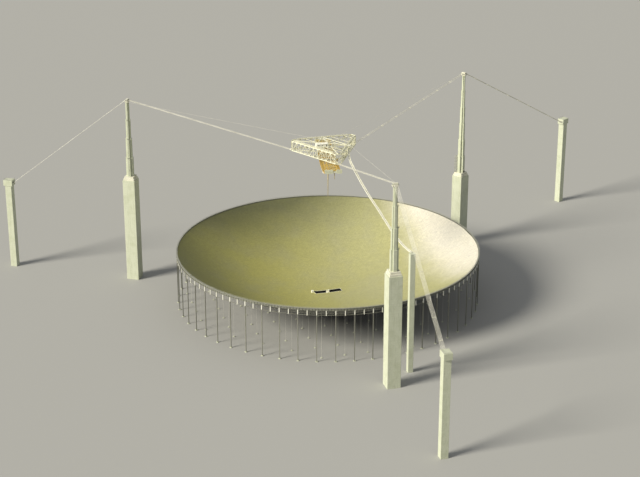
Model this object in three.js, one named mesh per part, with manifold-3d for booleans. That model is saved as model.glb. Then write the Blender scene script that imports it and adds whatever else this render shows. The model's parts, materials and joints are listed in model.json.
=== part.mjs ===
// Radio telescope with a fixed spherical dish, as a 1:20 scale model in millimetres, +Z up.
// Origin: on the dish's axis, on the underside of the centre pier. -Y points to the near tower.
// Sizes and places below are full-size metres, and piece() brings each shape to the model's scale.
import * as THREE from "three";
import { mergeVertices } from "three/addons/utils/BufferGeometryUtils.js";
import Module from "manifold-3d";

const wasm = await Module();
wasm.setup();

// Scale: one full-size metre in model millimetres, and the 0.3 mm gap between touching pieces
const METRE = 50;
const GAP = 0.3 / METRE;
const CLEAR = 6 / METRE;

// How far a fused piece reaches into its neighbour
const SINK = 0.2;

// Dish: a cap of a sphere, its rim level with RIM
const RIM = 54.2;
const RIM_RADIUS = 152.4;
const SPHERE_RADIUS = 265.2;
const DISH_THICKNESS = 0.5;
const CAP_ANGLE = Math.asin(RIM_RADIUS / SPHERE_RADIUS);
const SPHERE_CENTRE = RIM + SPHERE_RADIUS * Math.cos(CAP_ANGLE);
const DISH_LOW = SPHERE_CENTRE - SPHERE_RADIUS;
const EDGE_RADIUS = (SPHERE_RADIUS + DISH_THICKNESS) * Math.sin(CAP_ANGLE);
const ROUND_STEPS = 60;
const DISH_RINGS = 8;
const SLOT = { reach: 14.2, depth: 7, bridge: 1.6, y: -1, cut: 8 };
const PIER = { width: 5, depth: 12, slab: 1.2, over: 3 };

// Rim girder on posts
const GIRDER = { width: 1.2, top: 0.6, bottom: -1.4 };
const RIM_ARCS = 6;
const POSTS_PER_ARC = 9;
const POST = 0.7;

// Towers, and the height of their cable saddles above the rim
const TOWER_REACH = 210.3;
const TOWER_TOP = 138.6;
const SADDLE_HEIGHT = 140.9;
const CROSS_ARM = 0.45;
const SHORT_TOWER = {
  widths: [7.3, 6, 4.7, 3.6],
  tier: 20.2,
  base: 59.7,
  anchorReach: 347.3,
  anchorTop: 43.5,
};
const TALL_TOWER = {
  widths: [8, 6.9, 5.9, 5.1, 4.2, 3.4],
  tier: 18.5,
  base: 29.2,
  anchorReach: 398,
  anchorTop: 48.5,
};
const FOOTING = { width: 13, height: 4, step: 1.5 };
const CAP = { across: 6, along: 3.2, height: 1.5, saddle: 1.9, saddleAcross: 4.8, saddleAlong: 2.2 };
const ANCHOR = { along: 10, across: 8, height: 6, pier: 7 };
const SIDE_FRAME = { width: 3.2, post: 0.32, levels: 5 };

// Cables
const MAIN_CABLE = 0.11;
const BACKSTAY = 0.12;
const SERVICE_CABLE = 0.07;
const SERVICE_CLAMP = 0.4;
const SOCKET = 0.6;
const MAIN_SET = { count: 4, spacing: 0.95 };
const BACKSTAY_SET = { count: 5, spacing: 0.85 };

// Platform: a triangle with cut corners that point at the towers
const PLATFORM_TOP = 111.6;
const PLATFORM_LOW = 102;
const CORNER_REACH = 36.8;
const CORNER_HALF = 2.5;
const SIDE_REACH = CORNER_REACH / 2 + CORNER_HALF * Math.sin(Math.PI / 3);
const SIDE_BAYS = 10;
const CHORD = 0.7;
const WEB = 0.4;
const WEB_SPAN = 29;
const DIAGONAL = 0.36;
const CORNER_BAR = 0.4;
const INNER_BEAM = { depth: 0.5, mid: 0.6, ring: 0.58, post: 0.45 };
const HUB = { radius: 0.36, above: 2.8 };
const DECK = { top: 112.1, thickness: 0.3, over: 1 };
const HOUSE = { x: -9, y: -8.5, length: 12, width: 5, height: 3.4, wall: 2.7, eaves: 0.3 };

// Ring track under the platform
const RING_RADIUS = 19.5;
const RING = { flange: 0.6, web: 0.2, low: 100.6, flangeTop: 100.9 };
const STAR_BEAM = 0.62;

// Azimuth arm: a bow whose rails follow an arc about the sphere's centre
const ARM_HEADING = 80;
const ARM_HALF = 48.4;
const ARM_END = 1.6;
const ARM_TRUSS = 6.9;
const ARM_TOP = 99.2;
const ARM_CHORD = 0.5;
const ARM_SPAN = ARM_HALF - 0.6;
const ARM_STRUT = 0.3;
const LOWER_STRUTS = 2.2;
const RAIL_RADIUS = 129.6;
const RAIL = { depth: 0.5, width: 0.8, web: 0.24 };
const ARM_BAYS = 16;
const RAIL_STEPS = 40;
const RAIL_SAG = (2 * ARM_HALF / RAIL_STEPS) ** 2 / (8 * RAIL_RADIUS);

// Trolleys that carry the arm on the ring track
const TROLLEY = { length: 1.8, play: 0.18, plate: 0.3, rise: 0.2 };

// Housings that close the arm's ends: a cross box and a lobe at each truss
const END_BOX = { low: 97.6, height: 1.4, inset: 0.4 };
const END_LOBES = [
  { y: -5.7, width: 5.6, low: 96.9, height: 3.4 },
  { y: 4.5, width: 8, low: 96.8, height: 3.6 },
];

// Carriage houses that hang from the rails, with their feeds
const BRACKET = { beam: 0.7, width: 0.8, wall: 0.4, lip: 0.42, lipDepth: 0.3, drop: 0.6 };
const CARRIAGE = { length: 8, width: 10.5, height: 3.2 };
const SECOND_CARRIAGE = { length: 5.6, width: 13, height: 2.6, heading: -4.3 };
const COLLAR = { half: 0.12, wider: 1.35 };
const LINE_FEED = { top: 132.6, length: 29.3, radius: 0.55, tip: 0.22, collars: 6 };
const SHORT_FEED = { length: 7, radius: 0.4, tip: 0.25, across: 5.4, collars: 2 };

// Catwalk from the platform's near right side to its landing, as points of its middle line
const CATWALK_POINTS = [
  [16.6, -15.5, 109.6],
  [11.6, -35.7, 105.1],
  [10, -54.4, 102.2],
  [10.7, -79.5, 94.8],
  [12.4, -102.6, 87.8],
  [14.6, -121, 82],
  [17.3, -149.7, 73.2],
  [20, -165.7, 68],
  [23.2, -179.3, 64.8],
  [25, -186, 64.4],
];
const CATWALK = { width: 1.9, depth: 0.5, edge: 0.8, rail: 1.2, cable: 0.12, post: 0.16, steps: 20 };
const CATWALK_PIER = { side: 5, back: 1.5 };
const NEAR_RIGHT = -30;
const LANDING = { start: -6.2, length: 5, width: 3, floor: 109.25, head: 112.6, post: 0.3, roof: 0.25 };

// Finishes
const finish = (color, roughness, metalness = 0) => ({ color, roughness, metalness });
const PANELS = finish(0xb9b68c, 0.55, 0.6);
const CONCRETE = finish(0xd9dccb, 0.9);
const WHITE_STEEL = finish(0xeeeadd, 0.5, 0.1);
const RUSTY_STEEL = finish(0xb5793c, 0.7, 0.1);
const CABLE_STEEL = finish(0xc9c7b8, 0.5, 0.7);
const FEED_METAL = finish(0xd8b98a, 0.45, 0.6);
const GREY_STEEL = finish(0x8f9088, 0.6, 0.3);

const UP = new THREE.Vector3(0, 0, 1);
const at = (x, y, z) => new THREE.Vector3(x, y, z);
const polar = (reach, angle, z) => at(reach * Math.cos(angle), reach * Math.sin(angle), z);
const radians = (degrees) => THREE.MathUtils.degToRad(degrees);

/** A closed geometry as a solid that can be joined and cut. */
function toSolid(geometry) {
  const bare = geometry.clone();
  bare.deleteAttribute("normal");
  bare.deleteAttribute("uv");
  const merged = mergeVertices(bare, 1e-5);
  const vertProperties = new Float32Array(merged.attributes.position.array);
  const triVerts = new Uint32Array(merged.index.array);
  return new wasm.Manifold(new wasm.Mesh({ numProp: 3, vertProperties, triVerts }));
}

function toGeometry(solid) {
  const mesh = solid.getMesh();
  const geometry = new THREE.BufferGeometry();
  geometry.setAttribute("position", new THREE.BufferAttribute(mesh.vertProperties, 3));
  geometry.setIndex(new THREE.BufferAttribute(mesh.triVerts, 1));
  return geometry;
}

const join = (solids) => solids.reduce((whole, solid) => whole.add(solid));

/** A box by its middle and its full sizes. */
function box(centre, x, y, z) {
  const geometry = new THREE.BoxGeometry(x, y, z);
  geometry.translate(centre.x, centre.y, centre.z);
  return toSolid(geometry);
}

/** A box by the middle of its plan, its sizes across, and the levels of its underside and top. */
function block(x, y, along, across, low, high) {
  return box(at(x, y, (low + high) / 2), along, across, high - low);
}

/** A group turned about the upright axis by an angle in degrees. */
function turned(parent, degrees) {
  const group = new THREE.Group();
  group.rotation.z = radians(degrees);
  parent.add(group);
  return group;
}

/** A matrix whose X runs from a to b, with Y level, placed halfway between them. */
function alongMatrix(a, b) {
  const x = b.clone().sub(a).normalize();
  const side = Math.abs(x.z) > 0.999 ? at(0, 1, 0) : UP.clone().cross(x).normalize();
  const z = x.clone().cross(side).normalize();
  const matrix = new THREE.Matrix4().makeBasis(x, side, z);
  return matrix.setPosition(a.clone().add(b).multiplyScalar(0.5));
}

/** A rectangular bar from a to b, "over" longer at each end. */
function bar(a, b, width, depth = width, over = 0) {
  const geometry = new THREE.BoxGeometry(a.distanceTo(b) + 2 * over, width, depth);
  return toSolid(geometry.applyMatrix4(alongMatrix(a, b)));
}

/** A round cable or tube from a to b. */
function rod(a, b, radius, endRadius = radius, sides = 6) {
  const geometry = new THREE.CylinderGeometry(endRadius, radius, a.distanceTo(b), sides);
  geometry.rotateZ(-Math.PI / 2);
  return toSolid(geometry.applyMatrix4(alongMatrix(a, b)));
}

/** A mesh at the model's scale from a solid or a closed geometry in full-size metres. */
function piece(parent, name, shape, { color, roughness, metalness }) {
  let geometry = shape instanceof THREE.BufferGeometry ? shape : toGeometry(shape);
  geometry = geometry.index ? geometry.toNonIndexed() : geometry;
  geometry.scale(METRE, METRE, METRE);
  geometry.computeVertexNormals();
  const mesh = new THREE.Mesh(geometry, new THREE.MeshStandardMaterial({ color, roughness, metalness }));
  mesh.name = name;
  parent.add(mesh);
  return mesh;
}

/** The dish: a spherical shell with two slots beside a bridge at its lowest point. */
function makeDish(parent) {
  const back = SPHERE_RADIUS + DISH_THICKNESS;
  const inner = [];
  const outer = [];
  for (let i = 0; i <= DISH_RINGS; i += 1) {
    const angle = (CAP_ANGLE * i) / DISH_RINGS;
    inner.push(new THREE.Vector2(SPHERE_RADIUS * Math.sin(angle), -SPHERE_RADIUS * Math.cos(angle)));
    outer.push(new THREE.Vector2(back * Math.sin(angle), -back * Math.cos(angle)));
  }
  const profile = [...outer, ...inner.reverse()];
  const shell = new THREE.LatheGeometry(profile, ROUND_STEPS);
  shell.rotateX(Math.PI / 2);
  shell.translate(0, 0, SPHERE_CENTRE);
  let dish = toSolid(shell);
  const length = SLOT.reach - SLOT.bridge / 2;
  for (const side of [-1, 1]) {
    const middle = (side * (SLOT.reach + SLOT.bridge / 2)) / 2;
    dish = dish.subtract(box(at(middle, SLOT.y, DISH_LOW), length, SLOT.depth, SLOT.cut));
  }
  piece(parent, "dish_shell", dish, PANELS);
}

/** The pier under the bridge at the dish's lowest point. */
function makeCentrePier(parent) {
  const top = DISH_LOW - DISH_THICKNESS - GAP;
  const pier = join([
    block(0, SLOT.y, PIER.width, PIER.depth, 0, PIER.slab),
    block(0, SLOT.y, SLOT.bridge, SLOT.depth + PIER.over, 0, top),
  ]);
  piece(parent, "centre_pier", pier, CONCRETE);
}

/** One arc of the rim girder, fused with the posts that carry it. */
function rimArc(index) {
  const sweep = (2 * Math.PI) / RIM_ARCS;
  const inset = GAP / RIM_RADIUS;
  const start = index * sweep + inset;
  const steps = ROUND_STEPS / RIM_ARCS;
  const low = EDGE_RADIUS + GAP;
  const outline = new THREE.Shape();
  const angles = Array.from({ length: steps + 1 }, (_, i) => start + ((sweep - 2 * inset) * i) / steps);
  const place = (radius, angle) => [radius * Math.cos(angle), radius * Math.sin(angle)];
  outline.moveTo(...place(low, angles[0]));
  angles.slice(1).forEach((angle) => outline.lineTo(...place(low, angle)));
  angles.reverse().forEach((angle) => outline.lineTo(...place(low + GIRDER.width, angle)));
  const depth = GIRDER.top - GIRDER.bottom;
  const girder = new THREE.ExtrudeGeometry(outline, { depth, bevelEnabled: false });
  girder.translate(0, 0, RIM + GIRDER.bottom);
  const solids = [toSolid(girder)];
  const height = RIM + GIRDER.bottom + SINK;
  for (let i = 0; i < POSTS_PER_ARC; i += 1) {
    const angle = start + (sweep * (i + 0.5)) / POSTS_PER_ARC;
    const post = new THREE.BoxGeometry(POST, POST, height);
    post.translate(low + GIRDER.width / 2, 0, height / 2);
    post.rotateZ(angle);
    solids.push(toSolid(post));
  }
  return join(solids);
}

/** A plus-shaped block of a tower, from the ground to its own top. */
function crossBlock(width, low, high) {
  const arm = width * CROSS_ARM;
  return join([
    block(TOWER_REACH, 0, width, arm, low, high),
    block(TOWER_REACH, 0, arm, width, low, high),
  ]);
}

/** A tower's footing: a stepped block on a pier that runs down to the floor. */
function towerFooting(base) {
  const { width, height, step } = FOOTING;
  return join([0, 1, 2].map((i) => {
    const side = width - i * step;
    return block(TOWER_REACH, 0, side, side, 0, base + (i * height) / 2);
  }));
}

/** A cap with its crosshead and the saddle that the cables pass over. */
function towerCap() {
  const low = RIM + TOWER_TOP + GAP;
  const saddle = low + CAP.height;
  return join([
    block(TOWER_REACH, 0, CAP.along, CAP.across, low, saddle),
    block(TOWER_REACH, 0, CAP.saddleAlong, CAP.saddleAcross, saddle - SINK, saddle + CAP.saddle),
  ]);
}

/** Parallel cables between two upright faces, fused with the socket beam at each end. */
function cableSet({ count, spacing }, radius, from, to) {
  const half = SOCKET / 2;
  const across = (count - 1) * spacing + SOCKET;
  const inward = Math.sign(to.x - from.x) * (half + GAP);
  const start = from.clone().setX(from.x + inward);
  const end = to.clone().setX(to.x - inward);
  const solids = [box(start, SOCKET, across, SOCKET), box(end, SOCKET, across, SOCKET)];
  for (let i = 0; i < count; i += 1) {
    const offset = at(0, (i - (count - 1) / 2) * spacing, 0);
    solids.push(rod(start.clone().add(offset), end.clone().add(offset), radius));
  }
  return join(solids);
}

/** The level of a shaft's underside, just over its footing. */
const towerFoot = (tower) => RIM + tower.base + GAP;

/** An open frame in the nook between two arms of a tower's lowest tier: posts, levels and diagonals. */
function sideFrame(tower) {
  const { width, post, levels } = SIDE_FRAME;
  const low = towerFoot(tower);
  const rise = (tower.tier - post) / levels;
  const inner = (tower.widths[0] * CROSS_ARM) / 2 + GAP + post / 2;
  const outer = inner + width - post;
  const corners = [[inner, inner], [outer, inner], [outer, outer], [inner, outer]];
  const place = ([x, y], level) => at(TOWER_REACH - x, y, low + post / 2 + rise * level);
  const solids = corners.map(([x, y]) => block(TOWER_REACH - x, y, post, post, low, low + tower.tier));
  for (let level = 0; level <= levels; level += 1) {
    corners.forEach((corner, i) => {
      const next = corners[(i + 1) % corners.length];
      solids.push(bar(place(corner, level), place(next, level), post * 0.9));
      if (level < levels) {
        solids.push(bar(place(corner, level), place(next, level + 1), post / 2));
      }
    });
  }
  return join(solids);
}

/** One tower with its cables and its anchor, in a frame whose +X points from the axis to the tower. */
function makeTower(parent, name, heading, tower) {
  const group = turned(parent, heading);
  const base = RIM + tower.base - FOOTING.height;
  piece(group, `${name}_tower_footing`, towerFooting(base), CONCRETE);
  const foot = towerFoot(tower);
  const top = RIM + TOWER_TOP;
  const tiers = tower.widths.map((width, i) => {
    const high = i + 1 < tower.widths.length ? foot + tower.tier * (i + 1) : top;
    return crossBlock(width, foot, high);
  });
  piece(group, `${name}_tower_shaft`, join(tiers), CONCRETE);
  piece(group, `${name}_tower_cap`, towerCap(), CONCRETE);
  const saddle = RIM + SADDLE_HEIGHT;
  const corner = at(CORNER_REACH + CHORD / 2, 0, RIM + PLATFORM_LOW);
  const innerFace = at(TOWER_REACH - CAP.saddleAlong / 2, 0, saddle);
  const outerFace = at(TOWER_REACH + CAP.saddleAlong / 2, 0, saddle);
  const mainCables = cableSet(MAIN_SET, MAIN_CABLE, innerFace, corner);
  piece(group, `${name}_main_cables`, mainCables, CABLE_STEEL);
  const anchorTop = RIM + tower.anchorTop;
  const middle = anchorTop - ANCHOR.height / 2;
  const hold = at(tower.anchorReach - ANCHOR.along / 2, 0, middle);
  piece(group, `${name}_backstays`, cableSet(BACKSTAY_SET, BACKSTAY, outerFace, hold), CABLE_STEEL);
  const anchor = join([
    block(tower.anchorReach, 0, ANCHOR.along, ANCHOR.across, anchorTop - ANCHOR.height, anchorTop),
    block(tower.anchorReach, 0, ANCHOR.pier, ANCHOR.pier, 0, middle),
  ]);
  piece(group, `${name}_anchor_block`, anchor, CONCRETE);
  return group;
}

/** One side of the platform, cut back where it meets the two corner frames. */
function platformSide() {
  const half = SIDE_REACH * Math.tan(Math.PI / 3);
  const high = RIM + PLATFORM_TOP;
  const low = RIM + PLATFORM_LOW;
  const solids = [high, low].map((z) => bar(at(SIDE_REACH, -half, z), at(SIDE_REACH, half, z), CHORD));
  const place = (i, z) => at(SIDE_REACH, WEB_SPAN * ((2 * i) / SIDE_BAYS - 1), z);
  for (let i = 0; i <= SIDE_BAYS; i += 1) {
    solids.push(bar(place(i, low), place(i, high), WEB));
    if (i < SIDE_BAYS) {
      const [from, to] = i % 2 ? [high, low] : [low, high];
      solids.push(bar(place(i, from), place(i + 1, to), DIAGONAL));
    }
  }
  let side = join(solids);
  const face = CORNER_REACH - CHORD / 2 - GAP;
  for (const turn of [-1, 1]) {
    const cut = new THREE.BoxGeometry(face, 2 * half, half);
    cut.translate(1.5 * face, 0, (low + high) / 2);
    cut.rotateZ((turn * Math.PI) / 3);
    side = side.subtract(toSolid(cut));
  }
  return side;
}

/** The upright frame that closes a corner and takes a tower's main cables. */
function cornerFrame() {
  const half = CORNER_HALF + SINK;
  const post = CHORD * 0.8;
  const low = RIM + PLATFORM_LOW;
  const high = RIM + PLATFORM_TOP;
  const x = CORNER_REACH;
  return join([
    ...[low, high].map((z) => bar(at(x, -half, z), at(x, half, z), CHORD, CHORD, SINK)),
    ...[-1, 1].map((side) => block(x, side * half, post, post, low, high)),
    bar(at(x, -half, low), at(x, half, high), CORNER_BAR),
  ]);
}

/** The framing between the three sides: a star and a triangle of beams at both levels, and a deck. */
function innerFrame() {
  const solids = [];
  const mid = (k) => radians(-30 + 120 * k);
  const corner = (k) => radians(30 + 120 * k);
  const low = RIM + PLATFORM_LOW;
  const high = RIM + PLATFORM_TOP;
  const { depth, mid: midDepth, ring, post } = INNER_BEAM;
  for (let k = 0; k < 3; k += 1) {
    for (const z of [low, high]) {
      const middle = at(0, 0, z);
      solids.push(bar(middle, polar(SIDE_REACH, mid(k), z), depth, midDepth, CHORD));
      solids.push(bar(middle, polar(CORNER_REACH, corner(k), z), depth, STAR_BEAM, CHORD));
      const ends = [mid(k), mid(k + 1)].map((angle) => polar(SIDE_REACH, angle, z));
      solids.push(bar(...ends, depth, ring, CHORD));
    }
    const reach = SIDE_REACH / 2;
    solids.push(bar(polar(reach, corner(k), low), polar(reach, corner(k), high), post));
  }
  solids.push(hubPost());
  const deck = RIM + DECK.top;
  const length = HOUSE.length + 2 * DECK.over;
  const width = HOUSE.width + 2 * DECK.over;
  solids.push(block(HOUSE.x, HOUSE.y, length, width, deck - DECK.thickness, deck));
  const inset = CHORD / 2 + GAP;
  const limit = platformOutline(SIDE_REACH - inset, CORNER_REACH - inset);
  const prism = new THREE.ExtrudeGeometry(limit, { depth: 2 * (high - low), bevelEnabled: false });
  prism.translate(0, 0, low - (high - low) / 2);
  return join(solids).intersect(toSolid(prism));
}

/** The round post at the platform's middle, one facet facing each tower. */
function hubPost() {
  const height = PLATFORM_TOP - PLATFORM_LOW + HUB.above;
  const post = new THREE.CylinderGeometry(HUB.radius, HUB.radius, height, 12, 1, false, Math.PI / 12);
  post.rotateX(Math.PI / 2);
  post.translate(0, 0, RIM + PLATFORM_LOW + height / 2);
  return toSolid(post);
}

/** A triangle with cut corners: three long sides at sideReach and three short ones at cornerReach. */
function platformOutline(sideReach, cornerReach) {
  const shape = new THREE.Shape();
  const half = (cornerReach - sideReach * 0.5) / Math.sin(Math.PI / 3);
  const middle = new THREE.Vector2();
  const corners = [-30, 90, 210].flatMap((heading) => {
    const turn = (y) => new THREE.Vector2(sideReach, y).rotateAround(middle, radians(heading));
    return [turn(-half), turn(half)];
  });
  shape.setFromPoints(corners);
  return shape;
}

/** The ring track: an upside-down T that hangs from the platform's lower beams. */
function ringTrack() {
  const top = PLATFORM_LOW - STAR_BEAM / 2 - GAP;
  const profile = [
    [RING_RADIUS - RING.flange, RING.low],
    [RING_RADIUS + RING.flange, RING.low],
    [RING_RADIUS + RING.flange, RING.flangeTop],
    [RING_RADIUS + RING.web, RING.flangeTop],
    [RING_RADIUS + RING.web, top],
    [RING_RADIUS - RING.web, top],
    [RING_RADIUS - RING.web, RING.flangeTop],
    [RING_RADIUS - RING.flange, RING.flangeTop],
    [RING_RADIUS - RING.flange, RING.low],
  ].map(([x, z]) => new THREE.Vector2(x, RIM + z));
  const ring = new THREE.LatheGeometry(profile, 48);
  ring.rotateX(Math.PI / 2);
  return toSolid(ring);
}

/** The house on the deck, with a shallow pitched roof that stands a little proud of its walls. */
function platformHouse() {
  const floor = RIM + DECK.top + GAP;
  const outline = new THREE.Shape();
  const half = HOUSE.width / 2;
  outline.moveTo(-half, 0);
  outline.lineTo(half, 0);
  outline.lineTo(half, HOUSE.wall);
  outline.lineTo(half + HOUSE.eaves, HOUSE.wall);
  outline.lineTo(0, HOUSE.height);
  outline.lineTo(-half - HOUSE.eaves, HOUSE.wall);
  outline.lineTo(-half, HOUSE.wall);
  const house = new THREE.ExtrudeGeometry(outline, { depth: HOUSE.length, bevelEnabled: false });
  house.rotateX(Math.PI / 2);
  house.rotateZ(Math.PI / 2);
  house.translate(HOUSE.x - HOUSE.length / 2, HOUSE.y, floor);
  return house;
}

function makePlatform(parent) {
  const sides = [["near_right", -30], ["back", 90], ["near_left", 210]];
  for (const [name, heading] of sides) {
    piece(turned(parent, heading), `platform_${name}_side`, platformSide(), WHITE_STEEL);
  }
  const corners = [["near", -90], ["far", 30], ["left", 150]];
  for (const [name, heading] of corners) {
    piece(turned(parent, heading), `platform_${name}_corner`, cornerFrame(), WHITE_STEEL);
  }
  piece(parent, "platform_inner_frame", innerFrame(), WHITE_STEEL);
  piece(parent, "ring_track", ringTrack(), GREY_STEEL);
  piece(parent, "platform_house", platformHouse(), WHITE_STEEL);
  piece(turned(parent, NEAR_RIGHT), "platform_landing", platformLanding(), WHITE_STEEL);
}

/** The place along the arm of the strut that starts one of its bays. */
const armStation = (bay) => ARM_SPAN * ((2 * bay) / ARM_BAYS - 1);

/** One side truss of the arm: its curved rail, flat upper chord and webs, with two ring trolleys. */
function armTruss(side) {
  const y = side * ARM_TRUSS;
  const inner = RAIL_RADIUS - RAIL.depth;
  const reach = Math.asin(ARM_HALF / RAIL_RADIUS);
  const arc = (radius) => Array.from({ length: RAIL_STEPS + 1 }, (_, i) => {
    const angle = reach * ((2 * i) / RAIL_STEPS - 1);
    return new THREE.Vector2(radius * Math.sin(angle), -radius * Math.cos(angle));
  });
  const outline = new THREE.Shape([...arc(RAIL_RADIUS), ...arc(inner).reverse()]);
  const rail = new THREE.ExtrudeGeometry(outline, { depth: RAIL.width, bevelEnabled: false });
  rail.rotateX(Math.PI / 2);
  rail.translate(0, y + RAIL.width / 2, SPHERE_CENTRE);
  const solids = [toSolid(rail)];
  const top = RIM + ARM_TOP;
  const railTop = (x) => SPHERE_CENTRE - Math.sqrt((inner + SINK) ** 2 - x * x);
  solids.push(bar(at(-ARM_SPAN, y, top), at(ARM_SPAN, y, top), ARM_CHORD, ARM_CHORD, ARM_CHORD / 2));
  for (let i = 0; i <= ARM_BAYS; i += 1) {
    const x = armStation(i);
    solids.push(bar(at(x, y, railTop(x)), at(x, y, top), RAIL.web, RAIL.web * 1.4));
    if (i < ARM_BAYS) {
      const next = armStation(i + 1);
      const rising = i % 2 === 0;
      const a = at(x, y, rising ? railTop(x) : top);
      const b = at(next, y, rising ? top : railTop(next));
      solids.push(bar(a, b, RAIL.web * 0.9, RAIL.web));
    }
  }
  const trolley = Math.sqrt(RING_RADIUS ** 2 - ARM_TRUSS ** 2);
  for (const end of [-1, 1]) {
    solids.push(ringTrolley(Math.atan2(y, end * trolley)));
  }
  return join(solids);
}

/** A trolley that wraps the ring track's flange: a base under it, two cheeks and two lips. */
function ringTrolley(turn) {
  const { length, play, plate, rise } = TROLLEY;
  const low = RIM + ARM_TOP + rise;
  const under = RIM + RING.low - GAP;
  const over = RIM + RING.flangeTop + GAP;
  const cheek = RING.flange + play;
  const lipEdge = RING.web + play;
  const parts = [new THREE.BoxGeometry(2 * (cheek + plate), length, under - low)];
  parts[0].translate(RING_RADIUS, 0, (under + low) / 2);
  for (const side of [-1, 1]) {
    const wall = new THREE.BoxGeometry(plate, length, over + plate - low);
    wall.translate(RING_RADIUS + side * (cheek + plate / 2), 0, (over + plate + low) / 2);
    const lip = new THREE.BoxGeometry(cheek + plate - lipEdge, length * 0.9, plate * 0.9);
    lip.translate(RING_RADIUS + (side * (cheek + plate + lipEdge)) / 2, 0, over + plate * 0.45);
    parts.push(wall, lip);
  }
  return join(parts.map((part) => toSolid(part.rotateZ(turn))));
}

/** Bracing between the arm's two trusses over some of its bays: struts and a zigzag. */
function armBracing(height, edge, firstBay, lastBay) {
  const inset = edge - ARM_STRUT / 2;
  const place = (i, y) => at(armStation(i), y, height(armStation(i)));
  const solids = [];
  for (let i = firstBay; i <= lastBay; i += 1) {
    solids.push(bar(place(i, -edge), place(i, edge), ARM_STRUT));
    if (i < lastBay) {
      const turn = i % 2 ? 1 : -1;
      solids.push(bar(place(i, turn * inset), place(i + 1, -turn * inset), ARM_STRUT * 0.8));
    }
  }
  return join(solids);
}

/** The white housing that closes one end of the arm, with a lobe at each truss. */
function armEnd(side) {
  const x = side * (ARM_HALF + GAP + ARM_END / 2);
  const low = RIM + END_BOX.low;
  const lobes = END_LOBES.map((lobe) => {
    const under = RIM + lobe.low;
    return block(x, lobe.y, ARM_END, lobe.width, under, under + lobe.height);
  });
  const middle = block(x, 0, ARM_END - END_BOX.inset, 2 * ARM_TRUSS, low, low + END_BOX.height);
  return join([middle, ...lobes]);
}

/** Turns a solid about the sphere's centre, along the arm. */
function alongRail(solid, angle) {
  const matrix = new THREE.Matrix4().makeTranslation(0, 0, SPHERE_CENTRE);
  matrix.multiply(new THREE.Matrix4().makeRotationY(-angle));
  matrix.multiply(new THREE.Matrix4().makeTranslation(0, 0, -SPHERE_CENTRE));
  return toSolid(toGeometry(solid).applyMatrix4(matrix));
}

/** A cross beam under the rails, with a wall and a lip at each end that hook over the rail's flange. */
function carriageBracket(top) {
  const { beam, width, wall, lip, lipDepth } = BRACKET;
  const over = SPHERE_CENTRE - RAIL_RADIUS + RAIL.depth + RAIL_SAG + GAP;
  const face = ARM_TRUSS - RAIL.width / 2 - CLEAR;
  const parts = [block(0, 0, width, 2 * ARM_TRUSS + RAIL.width, top - beam, top)];
  for (const side of [-1, 1]) {
    const head = over + lipDepth;
    parts.push(block(0, side * (face - wall / 2), width, wall, top - beam + SINK, head));
    parts.push(block(0, side * (face + CLEAR / 2), width, lip, over, head));
  }
  return join(parts);
}

/** A carriage: its house, and two brackets that hang it from both rails. */
function carriageHouse({ length, width, height }) {
  const top = SPHERE_CENTRE - RAIL_RADIUS - CLEAR;
  const bracket = carriageBracket(top);
  const angle = (length / 2 - BRACKET.width) / RAIL_RADIUS;
  const roof = top - BRACKET.drop;
  return join([
    block(0, 0, length, width, roof - height, roof),
    alongRail(bracket, angle),
    alongRail(bracket, -angle),
  ]);
}

/** A feed: a tapering tube with collars, hung below a carriage. */
function feed(top, length, radius, tip, collars) {
  const point = (wall, z) => new THREE.Vector2(wall, z);
  const points = [point(0, -length)];
  for (let i = collars; i >= 0; i -= 1) {
    const z = (-length * i) / collars;
    const wall = THREE.MathUtils.lerp(radius, tip, i / collars);
    const wide = wall * COLLAR.wider;
    const low = Math.max(z - COLLAR.half, -length);
    const high = Math.min(z + COLLAR.half, 0);
    points.push(...(i < collars ? [point(wall, low)] : []), point(wide, low));
    points.push(point(wide, high), ...(i > 0 ? [point(wall, high)] : []));
  }
  points.push(point(0, 0));
  const tube = new THREE.LatheGeometry(points, 8);
  tube.rotateX(Math.PI / 2);
  tube.translate(0, 0, top);
  return toSolid(tube);
}

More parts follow.
